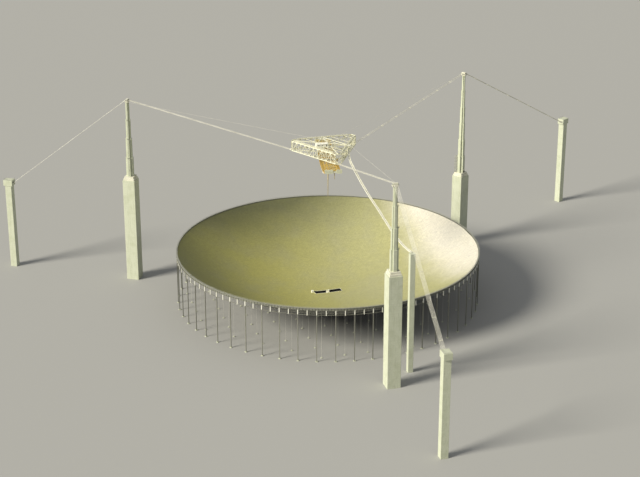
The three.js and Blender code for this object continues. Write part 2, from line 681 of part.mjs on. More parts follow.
function makeArm(parent) {
  const arm = turned(parent, ARM_HEADING);
  piece(arm, "arm_left_truss", armTruss(1), RUSTY_STEEL);
  piece(arm, "arm_right_truss", armTruss(-1), RUSTY_STEEL);
  const chordFace = ARM_TRUSS - ARM_CHORD / 2 - GAP;
  const topBracing = armBracing(() => RIM + ARM_TOP, chordFace, 0, ARM_BAYS);
  piece(arm, "arm_top_bracing", topBracing, RUSTY_STEEL);
  const bow = (x) => SPHERE_CENTRE - Math.sqrt((RAIL_RADIUS - LOWER_STRUTS) ** 2 - x * x);
  const webFace = ARM_TRUSS - RAIL.web / 2 - GAP;
  piece(arm, "arm_lower_bracing", armBracing(bow, webFace, 1, ARM_BAYS - 1), RUSTY_STEEL);
  piece(arm, "arm_near_end", armEnd(-1), WHITE_STEEL);
  piece(arm, "arm_far_end", armEnd(1), WHITE_STEEL);
  const hang = SPHERE_CENTRE - RAIL_RADIUS - CLEAR - BRACKET.drop;
  piece(arm, "main_carriage_house", carriageHouse(CARRIAGE), WHITE_STEEL);
  const feedTop = hang - CARRIAGE.height - GAP;
  const feedLength = feedTop - (SPHERE_CENTRE - LINE_FEED.top - LINE_FEED.length);
  const long = feed(feedTop, feedLength, LINE_FEED.radius, LINE_FEED.tip, LINE_FEED.collars);
  piece(arm, "line_feed", long, FEED_METAL);
  const second = new THREE.Group();
  second.position.z = SPHERE_CENTRE * METRE;
  second.rotation.y = radians(-SECOND_CARRIAGE.heading);
  arm.add(second);
  const lowered = new THREE.Group();
  lowered.position.z = -SPHERE_CENTRE * METRE;
  second.add(lowered);
  piece(lowered, "second_carriage_house", carriageHouse(SECOND_CARRIAGE), WHITE_STEEL);
  const shortTop = hang - SECOND_CARRIAGE.height - GAP;
  const { length, radius, tip, collars } = SHORT_FEED;
  const short = feed(shortTop, length, radius, tip, collars);
  piece(lowered, "short_feed", short.translate([0, -SHORT_FEED.across, 0]), FEED_METAL);
}

/** A bar that follows a row of points: its section stays upright, "side" and "up" off the row. */
function strip(points, width, depth, side = 0, up = 0) {
  const steps = points.length - 1;
  const geometry = new THREE.BoxGeometry(1, width, depth, steps, 1, 1);
  const corner = new THREE.Vector3();
  for (let i = 0; i < geometry.attributes.position.count; i += 1) {
    corner.fromBufferAttribute(geometry.attributes.position, i);
    const k = Math.round((corner.x + 0.5) * steps);
    const ahead = points[Math.min(k + 1, steps)].clone().sub(points[Math.max(k - 1, 0)]);
    const across = UP.clone().cross(ahead).normalize();
    const place = points[k].clone().addScaledVector(across, side + corner.y);
    geometry.attributes.position.setXYZ(i, place.x, place.y, place.z + up + corner.z);
  }
  return toSolid(geometry);
}

/** The catwalk: a deck with a hand cable on each side, on posts, all fused. */
function makeCatwalk(parent) {
  const lift = ([x, y, z]) => at(x, y, RIM + z);
  const curve = new THREE.CatmullRomCurve3(CATWALK_POINTS.map(lift));
  const points = curve.getSpacedPoints(CATWALK.steps);
  const { width, depth, edge, rail, cable, post } = CATWALK;
  const solids = [strip(points, width, depth)];
  for (const side of [-edge, edge]) {
    solids.push(strip(points, cable, cable, side, rail));
  }
  for (let i = 1; i < CATWALK.steps; i += 2) {
    const ahead = points[i + 1].clone().sub(points[i - 1]);
    const across = UP.clone().cross(ahead).normalize();
    for (const side of [-edge, edge]) {
      const foot = points[i].clone().addScaledVector(across, side);
      solids.push(bar(foot, foot.clone().setZ(foot.z + rail), post));
    }
  }
  const beside = SIDE_REACH;
  const cut = new THREE.BoxGeometry(beside, beside, beside);
  cut.translate(beside, LANDING.start - GAP + beside / 2, RIM + PLATFORM_TOP);
  cut.rotateZ(radians(NEAR_RIGHT));
  piece(parent, "catwalk", join(solids).subtract(toSolid(cut)), WHITE_STEEL);
  const end = points.at(-1);
  const top = end.z - depth / 2 - GAP;
  const pier = block(end.x, end.y - CATWALK_PIER.back, CATWALK_PIER.side, CATWALK_PIER.side, 0, top);
  piece(parent, "catwalk_landing_pier", pier, CONCRETE);
}

/** The landing that hangs on the platform's near right side, where the catwalk arrives. */
function platformLanding() {
  const { start, length, width, floor, head, post, roof } = LANDING;
  const x = SIDE_REACH + CHORD / 2 + GAP + width / 2;
  const y = start + length / 2;
  const low = RIM + floor;
  const high = RIM + head;
  const parts = [box(at(x, y, low), width, length, post), box(at(x, y, high), width, length, roof)];
  for (const side of [-1, 1]) {
    for (const end of [-1, 1]) {
      const px = x + (side * (width - post)) / 2;
      const py = y + (end * (length - post)) / 2;
      parts.push(block(px, py, post * 0.9, post * 0.9, low, high));
    }
  }
  return join(parts);
}

/** A thin cable between two points of a tower's frame, with a small clamp block at each end. */
function serviceCable(from, to) {
  const clamp = SERVICE_CLAMP;
  return join([rod(from, to, SERVICE_CABLE), box(from, clamp, clamp, clamp), box(to, clamp, clamp, clamp)]);
}

function makeServiceCables(parent) {
  const seat = GAP + SERVICE_CLAMP / 2;
  const reach = TOWER_REACH - CAP.along / 2 - seat;
  const from = at(reach, CAP.across / 2 - SERVICE_CLAMP, RIM + TOWER_TOP + CAP.height / 2);
  const hub = HUB.radius * Math.cos(Math.PI / 12) + seat;
  const centre = at(hub, 0, RIM + PLATFORM_TOP + HUB.above - SERVICE_CLAMP);
  const { start, length, width, head, roof } = LANDING;
  const landing = at(SIDE_REACH + CHORD / 2 + width / 2, start + length / 2, 0);
  landing.applyAxisAngle(UP, radians(NEAR_RIGHT));
  const onRoof = at(-landing.y, landing.x, RIM + head + roof / 2 + seat);
  const routes = [["near", -90, onRoof], ["left", 150, centre], ["far", 30, centre]];
  for (const [name, heading, to] of routes) {
    piece(turned(parent, heading), `${name}_service_cable`, serviceCable(from, to), CABLE_STEEL);
  }
}

const telescope = new THREE.Group();
makeDish(telescope);
makeCentrePier(telescope);
for (let i = 0; i < RIM_ARCS; i += 1) {
  piece(telescope, `rim_arc_${i + 1}`, rimArc(i), GREY_STEEL);
}
makeTower(telescope, "near", -90, SHORT_TOWER);
makeTower(telescope, "left", 150, SHORT_TOWER);
const farTower = makeTower(telescope, "far", 30, TALL_TOWER);
piece(farTower, "far_tower_side_frame", sideFrame(TALL_TOWER), GREY_STEEL);
makePlatform(telescope);
makeArm(telescope);
makeCatwalk(telescope);
makeServiceCables(telescope);

export default telescope;
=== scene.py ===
# Radio telescope with a fixed spherical dish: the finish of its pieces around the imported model.
# Sizes and places are full-size metres, and METRE brings them to the model's scale.
import json
import math

import bpy
import numpy as np
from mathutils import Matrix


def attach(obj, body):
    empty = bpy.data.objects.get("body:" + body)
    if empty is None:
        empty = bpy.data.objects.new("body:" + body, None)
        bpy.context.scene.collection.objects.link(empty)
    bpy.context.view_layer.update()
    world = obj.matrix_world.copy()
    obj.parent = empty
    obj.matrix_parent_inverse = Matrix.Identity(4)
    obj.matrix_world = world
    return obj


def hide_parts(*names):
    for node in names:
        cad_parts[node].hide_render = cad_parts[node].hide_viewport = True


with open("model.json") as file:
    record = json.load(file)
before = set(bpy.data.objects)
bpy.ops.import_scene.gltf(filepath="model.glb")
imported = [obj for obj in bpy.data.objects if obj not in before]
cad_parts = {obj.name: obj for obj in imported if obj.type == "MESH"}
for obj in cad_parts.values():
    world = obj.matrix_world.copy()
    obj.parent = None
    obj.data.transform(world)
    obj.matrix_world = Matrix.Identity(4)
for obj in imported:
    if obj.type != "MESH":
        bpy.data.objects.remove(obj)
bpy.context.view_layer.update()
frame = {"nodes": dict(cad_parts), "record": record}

# Scale, the gap between touching pieces, and the usual bevel
METRE = 0.05
GAP = 0.006
CHAMFER = 0.08

# Heights of handrails over their floor
LOW_RAIL, MID_RAIL, TOP_RAIL = 0.55, 0.6, 1.1

# Dish
RIM = 54.2
RIM_RADIUS = 152.4
SPHERE_RADIUS = 265.2
SPHERE_CENTRE = RIM + math.sqrt(SPHERE_RADIUS**2 - RIM_RADIUS**2)
DISH_LOW = SPHERE_CENTRE - SPHERE_RADIUS
SHELL = 0.5
EDGE_RADIUS = (SPHERE_RADIUS + SHELL) * RIM_RADIUS / SPHERE_RADIUS
SLOT_REACH, SLOT_DEPTH, BRIDGE, SLOT_Y = 14.2, 7.0, 1.6, -1.0
PANEL_LONG = (SLOT_REACH - BRIDGE / 2) / 7
PANEL_SHORT = 1.0
PANEL_SLAB = 0.15
NET_DEPTH = 0.12

# Rim
ARCS, POSTS_PER_ARC = 6, 9
ARC = 2 * math.pi / ARCS
GIRDER_WIDTH, GIRDER_TOP, GIRDER_LOW = 1.2, RIM + 0.6, RIM - 1.4
GIRDER_RADIUS = EDGE_RADIUS + GAP + GIRDER_WIDTH / 2
LOWER_RING = RIM - 6.2
PAD_TOP, BASE_TOP = 0.6, 0.66

# Towers and anchors
TOWER_REACH = 210.3
TOWER_TOP = RIM + 138.6
SADDLE_LEVEL = RIM + 140.9
SADDLE_HALF = 1.1
CROSS_ARM = 0.45
FOOTING_HEIGHT = 4.0
FOOTING_WIDTH = 13.0
CAP_SLAB, SADDLE_HEIGHT = 1.5, 1.9
SHORT_TOWER = {"widths": [7.3, 6, 4.7, 3.6], "tier": 20.2, "base": 59.7, "anchor": (347.3, 43.5)}
TALL_TOWER = {"widths": [8, 6.9, 5.9, 5.1, 4.2, 3.4], "tier": 18.5, "base": 29.2, "anchor": (398, 48.5)}
TOWERS = {"near": (-90, SHORT_TOWER), "left": (150, SHORT_TOWER), "far": (30, TALL_TOWER)}
POUR = 2.4
ANCHOR_LONG, ANCHOR_WIDE, ANCHOR_HIGH, ANCHOR_PIER = 10, 8, 6, 7.0

# Cables: how many to a set, how far apart, and their radius
MAIN_SET = (4, 0.95, 0.11)
STAY_SET = (5, 0.85, 0.12)
SOCKET = 0.3 + GAP
CLAMP_STEP = 22.0
SERVICE_RADIUS = 0.07

# Platform, ring track, arm and catwalk
PLATFORM_TOP, PLATFORM_LOW = RIM + 111.6, RIM + 102
CORNER_REACH, CORNER_HALF = 36.8, 2.5
SIDE_REACH = CORNER_REACH / 2 + CORNER_HALF * math.sin(math.pi / 3)
WEB_SPAN, CHORD_HALF, SIDE_BAYS = 29.0, 30, 10
CHORD = 0.7
HOUSE = (-9.0, -8.5, 12.0, 5.0, 2.7, 3.4)
HOUSE_FLOOR = RIM + 112.1 + GAP
SIDES = {"near_right": -30, "back": 90, "near_left": 210}
CORNERS = {"near": -90, "far": 30, "left": 150}
LANDING_START, LANDING_FLOOR, LANDING_ROOF = -6.2, RIM + 109.25, RIM + 112.725
RING_RADIUS = 19.5
RING_LOW, RING_FLANGE_TOP = RIM + 100.6, RIM + 100.9
ARM_HEADING = 80
ARM_HALF, ARM_TRUSS, ARM_TOP = 48.4, 6.9, RIM + 99.2
ARM_SPAN, ARM_BAYS = ARM_HALF - 0.6, 16
ARM_END = 1.6
RAIL_RADIUS, RAIL_DEPTH, RAIL_WIDTH = 129.6, 0.5, 0.8
CLEAR = 0.12
HANG = SPHERE_CENTRE - RAIL_RADIUS - CLEAR - 0.6
MAIN_HOUSE, SECOND_HOUSE = (8.0, 10.5, 3.2), (5.6, 13.0, 2.6)
SECOND_HEADING = -4.3
LINE_FEED_TIP = SPHERE_CENTRE - SPHERE_RADIUS / 2 - 29.3
BOARD_STEP = 0.45
CATWALK_HALF, CATWALK_FOOT = 0.95, (25.0, -187.5, RIM + 64.4 - 0.25 - GAP)
CATWALK_POINTS = np.array([
    [16.6, -15.5, 109.6],
    [11.6, -35.7, 105.1],
    [10, -54.4, 102.2],
    [10.7, -79.5, 94.8],
    [12.4, -102.6, 87.8],
    [14.6, -121, 82],
    [17.3, -149.7, 73.2],
    [20, -165.7, 68],
    [23.2, -179.3, 64.8],
    [25, -186, 64.4],
]) + [0, 0, RIM]

rng = np.random.default_rng(7)


# Shapes

class Shape:
    """Flat faces: points, the corners of all faces in one row, how many corners each face has, each
    corner's place in the unit square of its part, its run (share of the way around, metres along),
    and the number of the part that each face belongs to."""

    def __init__(self, points, corners, sizes, square, run, part):
        self.points, self.corners, self.sizes = points, corners, sizes
        self.square, self.run, self.part = square, run, part

    def at(self, points):
        """The same faces on other points."""
        return Shape(points, self.corners, self.sizes, self.square, self.run, self.part)


def join(*shapes):
    """One shape of several: their arrays one after another, with corners and parts numbered on."""
    firsts = np.cumsum([0] + [len(s.points) for s in shapes])
    parts = np.cumsum([0] + [s.part.max() + 1 for s in shapes])
    return Shape(
        np.concatenate([s.points for s in shapes]),
        np.concatenate([s.corners + first for s, first in zip(shapes, firsts)]),
        np.concatenate([s.sizes for s in shapes]),
        np.concatenate([s.square for s in shapes]),
        np.concatenate([s.run for s in shapes]),
        np.concatenate([s.part + first for s, first in zip(shapes, parts)]),
    )


def surface(points, ends=True):
    """Faces over grids of points (part, row, column, xyz): a face joins columns j and j + 1 of rows i
    and i + 1, and the last column joins the first. "ends" puts a flat face on the outer rows."""
    points = np.asarray(points, float)
    points = points.reshape((-1,) + points.shape[-3:])
    parts, rows, columns = points.shape[:3]
    i, j = (grid.ravel() for grid in np.meshgrid(np.arange(rows - 1), np.arange(columns), indexing="ij"))
    row = np.stack([i, i, i + 1, i + 1], 1)
    column = np.stack([j, j + 1, j + 1, j], 1)
    step = np.linalg.norm(np.diff(points.mean(axis=2), axis=1), axis=2)
    along = np.concatenate([np.zeros((parts, 1)), np.cumsum(step, axis=1)], axis=1)
    local = (row * columns + column % columns).ravel()
    square = np.stack([column / columns, 0.1 + 0.8 * row / (rows - 1)], -1).reshape(-1, 2)
    run = np.stack(np.broadcast_arrays(column / columns, along[:, row]), -1).reshape(parts, -1, 2)
    sizes = np.full(len(row), 4)
    if ends:
        ring = np.arange(columns)
        turn = 2 * np.pi * ring / columns
        cap = (0.5 + 0.5 * np.stack([np.cos(turn), np.sin(turn)], 1)) * [1, 0.08]
        ends_along = along[:, [0, -1]].repeat(columns, axis=1)
        cap_run = np.stack(np.broadcast_arrays(np.tile(ring / columns, 2), ends_along), -1)
        local = np.concatenate([local, ring[::-1], (rows - 1) * columns + ring])
        square = np.concatenate([square, cap, cap + [0, 0.92]])
        run = np.concatenate([run, cap_run], axis=1)
        sizes = np.append(sizes, [columns, columns])
    first = np.arange(parts)[:, None] * rows * columns
    return Shape(
        points.reshape(-1, 3),
        (first + local).ravel(),
        np.tile(sizes, parts),
        np.tile(square, (parts, 1)),
        run.reshape(-1, 2),
        np.arange(parts).repeat(len(sizes)),
    )


def spots(x, y, z):
    """Points from three coordinates, each a number or an array."""
    return np.stack(np.broadcast_arrays(x, y, z), -1).astype(float)


def polar(radius, angle, z):
    """Points on level circles: x = radius cos angle, y = radius sin angle."""
    return spots(radius * np.cos(angle), radius * np.sin(angle), z)


def unit(vectors):
    return vectors / np.maximum(np.linalg.norm(vectors, axis=-1, keepdims=True), 1e-9)


def turn_matrix(degrees):
    """The matrix that turns points, as rows, about the upright axis."""
    a = math.radians(degrees)
    return np.array([[math.cos(a), math.sin(a), 0], [-math.sin(a), math.cos(a), 0], [0, 0, 1]])


def turned(shape, degrees):
    """The shape turned about the upright axis: x' = x cos a - y sin a, y' = x sin a + y cos a."""
    return shape.at(shape.points @ turn_matrix(degrees))


def sweep(paths, profile, up=(0, 0, 1), scale=1.0):
    """A profile (side, up) carried along paths (part, row, xyz): each row is path + side * s + up' * u,
    with side = up x direction and up' = direction x side. Where a path runs along up, side is taken
    from +X instead. "scale" widens the profile row by row."""
    paths = np.asarray(paths, float)
    paths = paths.reshape((-1,) + paths.shape[-2:])
    direction = unit(np.gradient(paths, axis=1))
    up = np.broadcast_to(np.asarray(up, float), direction.shape)
    parallel = np.abs((direction * up).sum(-1, keepdims=True)) > 0.995
    side = unit(np.cross(np.where(parallel, [1.0, 0, 0], up), direction))
    high = np.cross(direction, side)
    profile = np.asarray(profile, float)
    scale = np.broadcast_to(scale, paths.shape[:2])[..., None, None]
    s, u = profile[:, 0, None], profile[:, 1, None]
    return surface(paths[:, :, None] + scale * (side[:, :, None] * s + high[:, :, None] * u))


def bars(starts, ends, profile, up=(0, 0, 1)):
    """Straight members with one profile, from each start to its end."""
    starts, ends = np.broadcast_arrays(np.atleast_2d(starts).astype(float), np.atleast_2d(ends))
    return sweep(np.stack([starts, ends], axis=1), profile, up)


def along_x(x, y, z, half, profile, up=(0, 0, 1)):
    """Level members along X, by their middles and half their length."""
    return bars(spots(x - half, y, z), spots(x + half, y, z), profile, up)


def along_y(x, y, z, half, profile, up=(0, 0, 1)):
    """Level members along Y, by their middles and half their length."""
    return bars(spots(x, y - half, z), spots(x, y + half, z), profile, up)


def uprights(feet, height, profile):
    """Upright members of one height, each standing on its own point."""
    feet = np.atleast_2d(feet).astype(float)
    return bars(feet, feet + [0, 0, height], profile)


def rails(line, heights, profile):
    """Straight rails between the points of a line, at each height over it."""
    line = np.asarray(line, float)
    return [bars(line[:-1] + [0, 0, h], line[1:] + [0, 0, h], profile) for h in heights]


def rect(width, depth=None):
    w, d = width / 2, (width if depth is None else depth) / 2
    return [(-w, -d), (w, -d), (w, d), (-w, d)]


def disc(radius, sides=8):
    """A regular outline: radius times the cosine and sine of even turns."""
    turn = 2 * np.pi * (np.arange(sides) + 0.5) / sides
    return radius * np.stack([np.cos(turn), np.sin(turn)], 1)


def h_beam(width, depth, flange, web):
    """The outline of an H section with its flanges below and above."""
    w, d, t = width / 2, depth / 2, web / 2
    right = [(w, -d), (w, -d + flange), (t, -d + flange), (t, d - flange), (w, d - flange), (w, d)]
    return right + [(-x, -y) for x, y in right]


def eight(along, across, chamfer=CHAMFER):
    """A rectangle's outline with its four corners cut, as (row, 8, 2) for rows of sizes."""
    a, b = np.atleast_1d(along)[:, None] / 2, np.atleast_1d(across)[:, None] / 2
    x = np.concatenate([a, a, a - chamfer, chamfer - a, -a, -a, chamfer - a, a - chamfer], 1)
    y = np.concatenate([chamfer - b, b - chamfer, b, b, b - chamfer, chamfer - b, -b, -b], 1)
    return np.stack([x, y], -1)


def plus(width, chamfer=CHAMFER):
    """A plus-shaped outline (row, 20, 2) for rows of widths: a quarter's five points, turned four times."""
    h = np.atleast_1d(width).astype(float) / 2
    a, c = h * CROSS_ARM, chamfer
    points = [(h, a - c), (h - c, a), (a, a), (a, h - c), (a - c, h)]
    quarter = np.stack([np.stack(point, -1) for point in points], 1)
    return np.concatenate([quarter @ turn_matrix(turn)[:2, :2] for turn in (0, 90, 180, 270)], axis=1)


def upright(outlines, heights, x=0.0, y=0.0):
    """A solid between outlines (row, column, 2) at rising heights."""
    heights = np.broadcast_to(np.asarray(heights, float)[:, None, None], outlines.shape[:2] + (1,))
    return surface(np.concatenate([outlines + [x, y], heights], -1))


def ribbed_box(x, y, along, across, low, high, spacing=0.5, depth=0.06):
    """A box whose walls have square ribs that stand out by depth, spaced evenly along each side."""
    def one(length, half):
        count = max(2, round(length / spacing))
        share = ((np.arange(count)[:, None] + [0, 0.45, 0.5, 0.95]) / count).ravel() - 0.5
        return share * length, np.tile([half - depth, half - depth, half, half], count)
    a, b = one(along - 2 * depth, across / 2)
    c, d = one(across - 2 * depth, along / 2)
    outline = np.concatenate([np.stack(p, 1) for p in ((a, -b), (d, c), (-a, b), (-d, -c))])
    return upright(np.stack([outline] * 2), [low, high], x, y)


def block(x, y, along, across, low, high, chamfer=CHAMFER):
    """A block with cut corners and a bevelled top, by the middle of its plan and its levels."""
    inset = np.array([0, 0, 2 * chamfer])
    return upright(eight(along - inset, across - inset, chamfer), [low, high - chamfer, high], x, y)


def bolts(plates, along, columns, rise, rows, out, radius=0.025):
    """Six-sided bolt heads in an even grid about each plate's point, from -along to +along and from
    -rise to +rise. Each head reaches 1.4 radii out along the unit vector "out"."""
    s, u = np.meshgrid(np.linspace(-1, 1, columns), np.linspace(-1, 1, rows))
    grid = s.reshape(-1, 1) * np.asarray(along, float) + u.reshape(-1, 1) * np.asarray(rise, float)
    heads = (np.atleast_2d(plates)[:, None] + grid).reshape(-1, 3)
    return bars(heads, heads + np.asarray(out, float) * radius * 1.4, disc(radius, 6))


def fence(x, along, across, floor, middle, radius):
    """A handrail round a rectangle, by half its sides: two rails, and posts at corners and halfway."""
    ring = spots(x + along * np.array([-1, 1, 1, -1, -1]), across * np.array([-1, -1, 1, 1, -1]), floor)
    posts = np.concatenate([ring[:-1], (ring[:-1] + ring[1:]) / 2])
    return join(*rails(ring, (middle, TOP_RAIL), disc(0.05, 6)), uprights(posts, TOP_RAIL, disc(radius, 6)))


def crossed_webs(low, high, main, counter, facing):
    """A zigzag of members between two rows of panel points, and the lighter ones that cross them."""
    rising = np.arange(len(low) - 1)[:, None] % 2 == 0
    a, b = np.where(rising, low[:-1], high[:-1]), np.where(rising, high[1:], low[1:])
    c, d = np.where(rising, high[:-1], low[:-1]), np.where(rising, low[1:], high[1:])
    return [bars(a, b, main, facing), bars(c, d, counter, facing)]


def publish(name, shape, body, slot, finish, *replaced, tone=None):
    """Puts a shape into a mesh object at the origin. Its OFBake map lays the unit squares of the parts
    out on a grid, and its run map keeps the way around and along each part."""
    mesh = bpy.data.meshes.new(name)
    mesh.vertices.add(len(shape.points))
    mesh.vertices.foreach_set("co", (shape.points * METRE).astype(np.float32).ravel())
    mesh.loops.add(len(shape.corners))
    mesh.loops.foreach_set("vertex_index", shape.corners.astype(np.int32))
    mesh.polygons.add(len(shape.sizes))
    mesh.polygons.foreach_set("loop_start", (np.cumsum(shape.sizes) - shape.sizes).astype(np.int32))
    mesh.polygons.foreach_set("use_smooth", np.zeros(len(shape.sizes), bool))
    cells = math.ceil(math.sqrt(shape.part.max() + 1))
    part = shape.part.repeat(shape.sizes)
    cell = np.stack([part % cells, part // cells], 1)
    margin = 0.04 if cells > 1 else 0
    atlas = (cell + margin + (1 - 2 * margin) * shape.square) / cells
    for title, values in (("OFBake", atlas), ("run", shape.run)):
        layer = mesh.uv_layers.new(name=title)
        layer.uv.foreach_set("vector", values.astype(np.float32).ravel())
    if tone is not None:
        layer = mesh.attributes.new("tone", "FLOAT", "FACE")
        layer.data.foreach_set("value", tone.astype(np.float32))
    mesh.materials.append(finish)
    mesh.update(calc_edges=True)
    mesh.validate()
    piece = bpy.data.objects.new(name, mesh)
    bpy.context.scene.collection.objects.link(piece)
    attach(piece, body)
    if replaced:
        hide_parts(*replaced)


# Materials

def colour(code):
    """A hex colour as linear red, green, blue and alpha."""
    parts = [int(code[i:i + 2], 16) / 255 for i in (0, 2, 4)]
    return [p / 12.92 if p <= 0.04045 else ((p + 0.055) / 1.055) ** 2.4 for p in parts] + [1]


def fill(tree, target, values):
    """Gives a node's inputs other nodes' outputs, hex colours or plain values."""
    for key, value in values.items():
        if isinstance(value, bpy.types.NodeSocket):
            tree.links.new(value, target.inputs[key])
        else:
            target.inputs[key].default_value = colour(value) if isinstance(value, str) else value


def node(tree, kind, values=(), **settings):
    """A shader node with its settings and its inputs."""
    made = tree.nodes.new("ShaderNode" + kind)
    for key, value in settings.items():
        setattr(made, key, value)
    fill(tree, made, dict(values))
    return made


def maths(tree, operation, a, b=0.0):
    return node(tree, "Math", {0: a, 1: b}, operation=operation).outputs[0]


def times(tree, a, b):
    return maths(tree, "MULTIPLY", a, b)


def sloped(tree, value, base, slope):
    """Base plus slope times the value."""
    return maths(tree, "ADD", base, times(tree, value, slope))


def noise(tree, vector, scale, detail=3.0, roughness=0.55):
    values = {"Vector": vector, "Scale": scale, "Detail": detail, "Roughness": roughness}
    return node(tree, "TexNoise", values).outputs["Fac"]


def step_between(tree, value, low, high):
    """0 below low, 1 above high and a smooth step between."""
    values = {"Value": value, "From Min": low, "From Max": high}
    return node(tree, "MapRange", values, interpolation_type="SMOOTHSTEP").outputs["Result"]


def blend(tree, factor, a, b):
    """Colour a changed towards colour b."""
    return node(tree, "Mix", {0: factor, 6: a, 7: b}, data_type="RGBA").outputs[2]


def toned(tree, tint, value, saturation=1.0):
    """A colour with its brightness and its saturation times given shares."""
    values = {"Value": value, "Saturation": saturation, "Color": tint}
    return node(tree, "HueSaturation", values).outputs["Color"]


def stretched(tree, vector, factors):
    """A vector with each coordinate times its own factor."""
    return node(tree, "VectorMath", {0: vector, 1: factors}, operation="MULTIPLY").outputs[0]


def full_size(tree, given):
    """The place in full-size metres."""
    return stretched(tree, given["Place"], (1 / METRE,) * 3)


def split(tree, vector):
    return node(tree, "SeparateXYZ", {0: vector}).outputs


def group(name, build, inputs, outputs):
    """A shader node group: "build" gets the tree and its inputs by name, and gives its outputs by name.
    An input without a value is a vector, one with four is a colour, and any other is a number."""
    tree = bpy.data.node_groups.new(name, "ShaderNodeTree")
    for label, value in inputs.items():
        kind = "Vector" if value is None else "Color" if isinstance(value, tuple) else "Float"
        socket = tree.interface.new_socket(label, in_out="INPUT", socket_type="NodeSocket" + kind)
        if value is not None:
            socket.default_value = value
    for label in outputs:
        kind = "Color" if label == "Color" else "Float"
        tree.interface.new_socket(label, in_out="OUTPUT", socket_type="NodeSocket" + kind)
    given = tree.nodes.new("NodeGroupInput")
    taken = tree.nodes.new("NodeGroupOutput")
    made = build(tree, given.outputs)
    for label in outputs:
        tree.links.new(made[label], taken.inputs[label])
    return tree


def build_weather(tree, given):
    """Broad fading, fine mottle and upright runs of dirt."""
    place = full_size(tree, given)
    broad = noise(tree, place, maths(tree, "DIVIDE", 1.0, given["Patch"]), 4)
    fine = noise(tree, place, maths(tree, "DIVIDE", 12.0, given["Patch"]), 2)
    runs = step_between(tree, noise(tree, stretched(tree, place, (1, 1, 0.06)), 1.4, 3), 0.52, 0.78)
    dirt = times(tree, runs, given["Runs"])
    dirty = blend(tree, dirt, given["Clean"], given["Dirt"])
    fading = times(tree, step_between(tree, broad, 0.4, 0.72), given["Fading"])
    faded = blend(tree, fading, dirty, given["Faded"])
    speck = times(tree, maths(tree, "SUBTRACT", fine, 0.5), given["Speckle"])
    return {"Color": toned(tree, faded, maths(tree, "ADD", 1.0, speck)), "Mask": dirt, "Height": fine}


def build_joints(tree, given):
    """Lines at even steps along Z, and upright ones across X plus Y, with a height that sinks in them."""
    place = full_size(tree, given)
    x, y, z = split(tree, place)
    level = maths(tree, "PINGPONG", z, maths(tree, "DIVIDE", given["Rise"], 2.0))
    across = maths(tree, "PINGPONG", maths(tree, "ADD", x, y), maths(tree, "DIVIDE", given["Width"], 2.0))
    line = step_between(tree, maths(tree, "MINIMUM", level, across), given["Line"], 0.0)
    board = noise(tree, stretched(tree, place, (0.3, 0.3, 7)), 1.0, 1)
    return {"Mask": line, "Height": maths(tree, "SUBTRACT", times(tree, board, given["Boards"]), line)}


def build_rust(tree, given):
    """Spots of rust that break out of the paint, with a ragged edge and a stain around them."""
    place = full_size(tree, given)
    patch = noise(tree, place, maths(tree, "DIVIDE", 1.0, given["Patch"]), 6, 0.68)
    limit = maths(tree, "SUBTRACT", 0.78, times(tree, given["Amount"], 0.4))
    mask = step_between(tree, patch, limit, maths(tree, "ADD", limit, 0.06))
    rust = blend(tree, noise(tree, place, 9.0, 2), "6B4526", "A9794A")
    stain = step_between(tree, patch, maths(tree, "SUBTRACT", limit, 0.12), limit)
    stained = blend(tree, times(tree, stain, 0.25), given["Paint"], "B08A5A")
    return {"Color": blend(tree, times(tree, mask, 0.8), stained, rust), "Mask": mask}


def build_strands(tree, given):
    """The lay of a stranded cable: waves that run around it and along it at once, from its run map."""
    u, v, _ = split(tree, given["Run"])
    turns = maths(tree, "ADD", times(tree, u, given["Strands"]), maths(tree, "DIVIDE", v, given["Pitch"]))
    wave = maths(tree, "ABSOLUTE", maths(tree, "SINE", times(tree, turns, math.pi)))
    return {"Mask": step_between(tree, wave, 0.35, 0.0), "Height": wave}


def build_panels(tree, given):
    """The dark seams between panels, from the run map, which holds metres on a panel."""
    u, v, _ = split(tree, given["Run"])
    across = maths(tree, "PINGPONG", u, PANEL_LONG / 2)
    along = maths(tree, "PINGPONG", v, PANEL_SHORT / 2)
    seam = step_between(tree, maths(tree, "MINIMUM", across, along), given["Seam"], 0.0)
    return {"Mask": seam, "Height": maths(tree, "SUBTRACT", 1.0, seam)}


WHITE, BLACK = (1, 1, 1, 1), (0, 0, 0, 1)
WEATHER = group("weather", build_weather, {
    "Place": None, "Clean": WHITE, "Faded": WHITE, "Dirt": BLACK,
    "Patch": 6.0, "Fading": 0.5, "Runs": 0.5, "Speckle": 0.2,
}, ("Color", "Mask", "Height"))
JOINTS = group("joints", build_joints, {
    "Place": None, "Rise": POUR, "Width": POUR, "Line": 0.06, "Boards": 0.3,
}, ("Mask", "Height"))
RUST = group("rust", build_rust, {
    "Place": None, "Paint": WHITE, "Patch": 0.8, "Amount": 0.3,
}, ("Color", "Mask"))
STRANDS = group("strands", build_strands, {"Run": None, "Strands": 6.0, "Pitch": 1.2}, ("Mask", "Height"))
PANELS = group("panels", build_panels, {"Run": None, "Seam": 0.05}, ("Mask", "Height"))


def material(name):
    """A new material with its node tree and its surface shader."""
    made = bpy.data.materials.new(name)
    made.use_nodes = True
    return made, made.node_tree, made.node_tree.nodes["Principled BSDF"]


def shared(tree, kind, values):
    """A shared node group put into a material with its own values."""
    return node(tree, "Group", values, node_tree=kind).outputs


def object_place(tree):
    return node(tree, "TexCoord").outputs["Object"]


def run_place(tree):
    return node(tree, "UVMap", uv_map="run").outputs["UV"]


def bump(tree, height, strength, distance):
    values = {"Height": height, "Strength": strength, "Distance": distance * METRE}
    return node(tree, "Bump", values).outputs["Normal"]


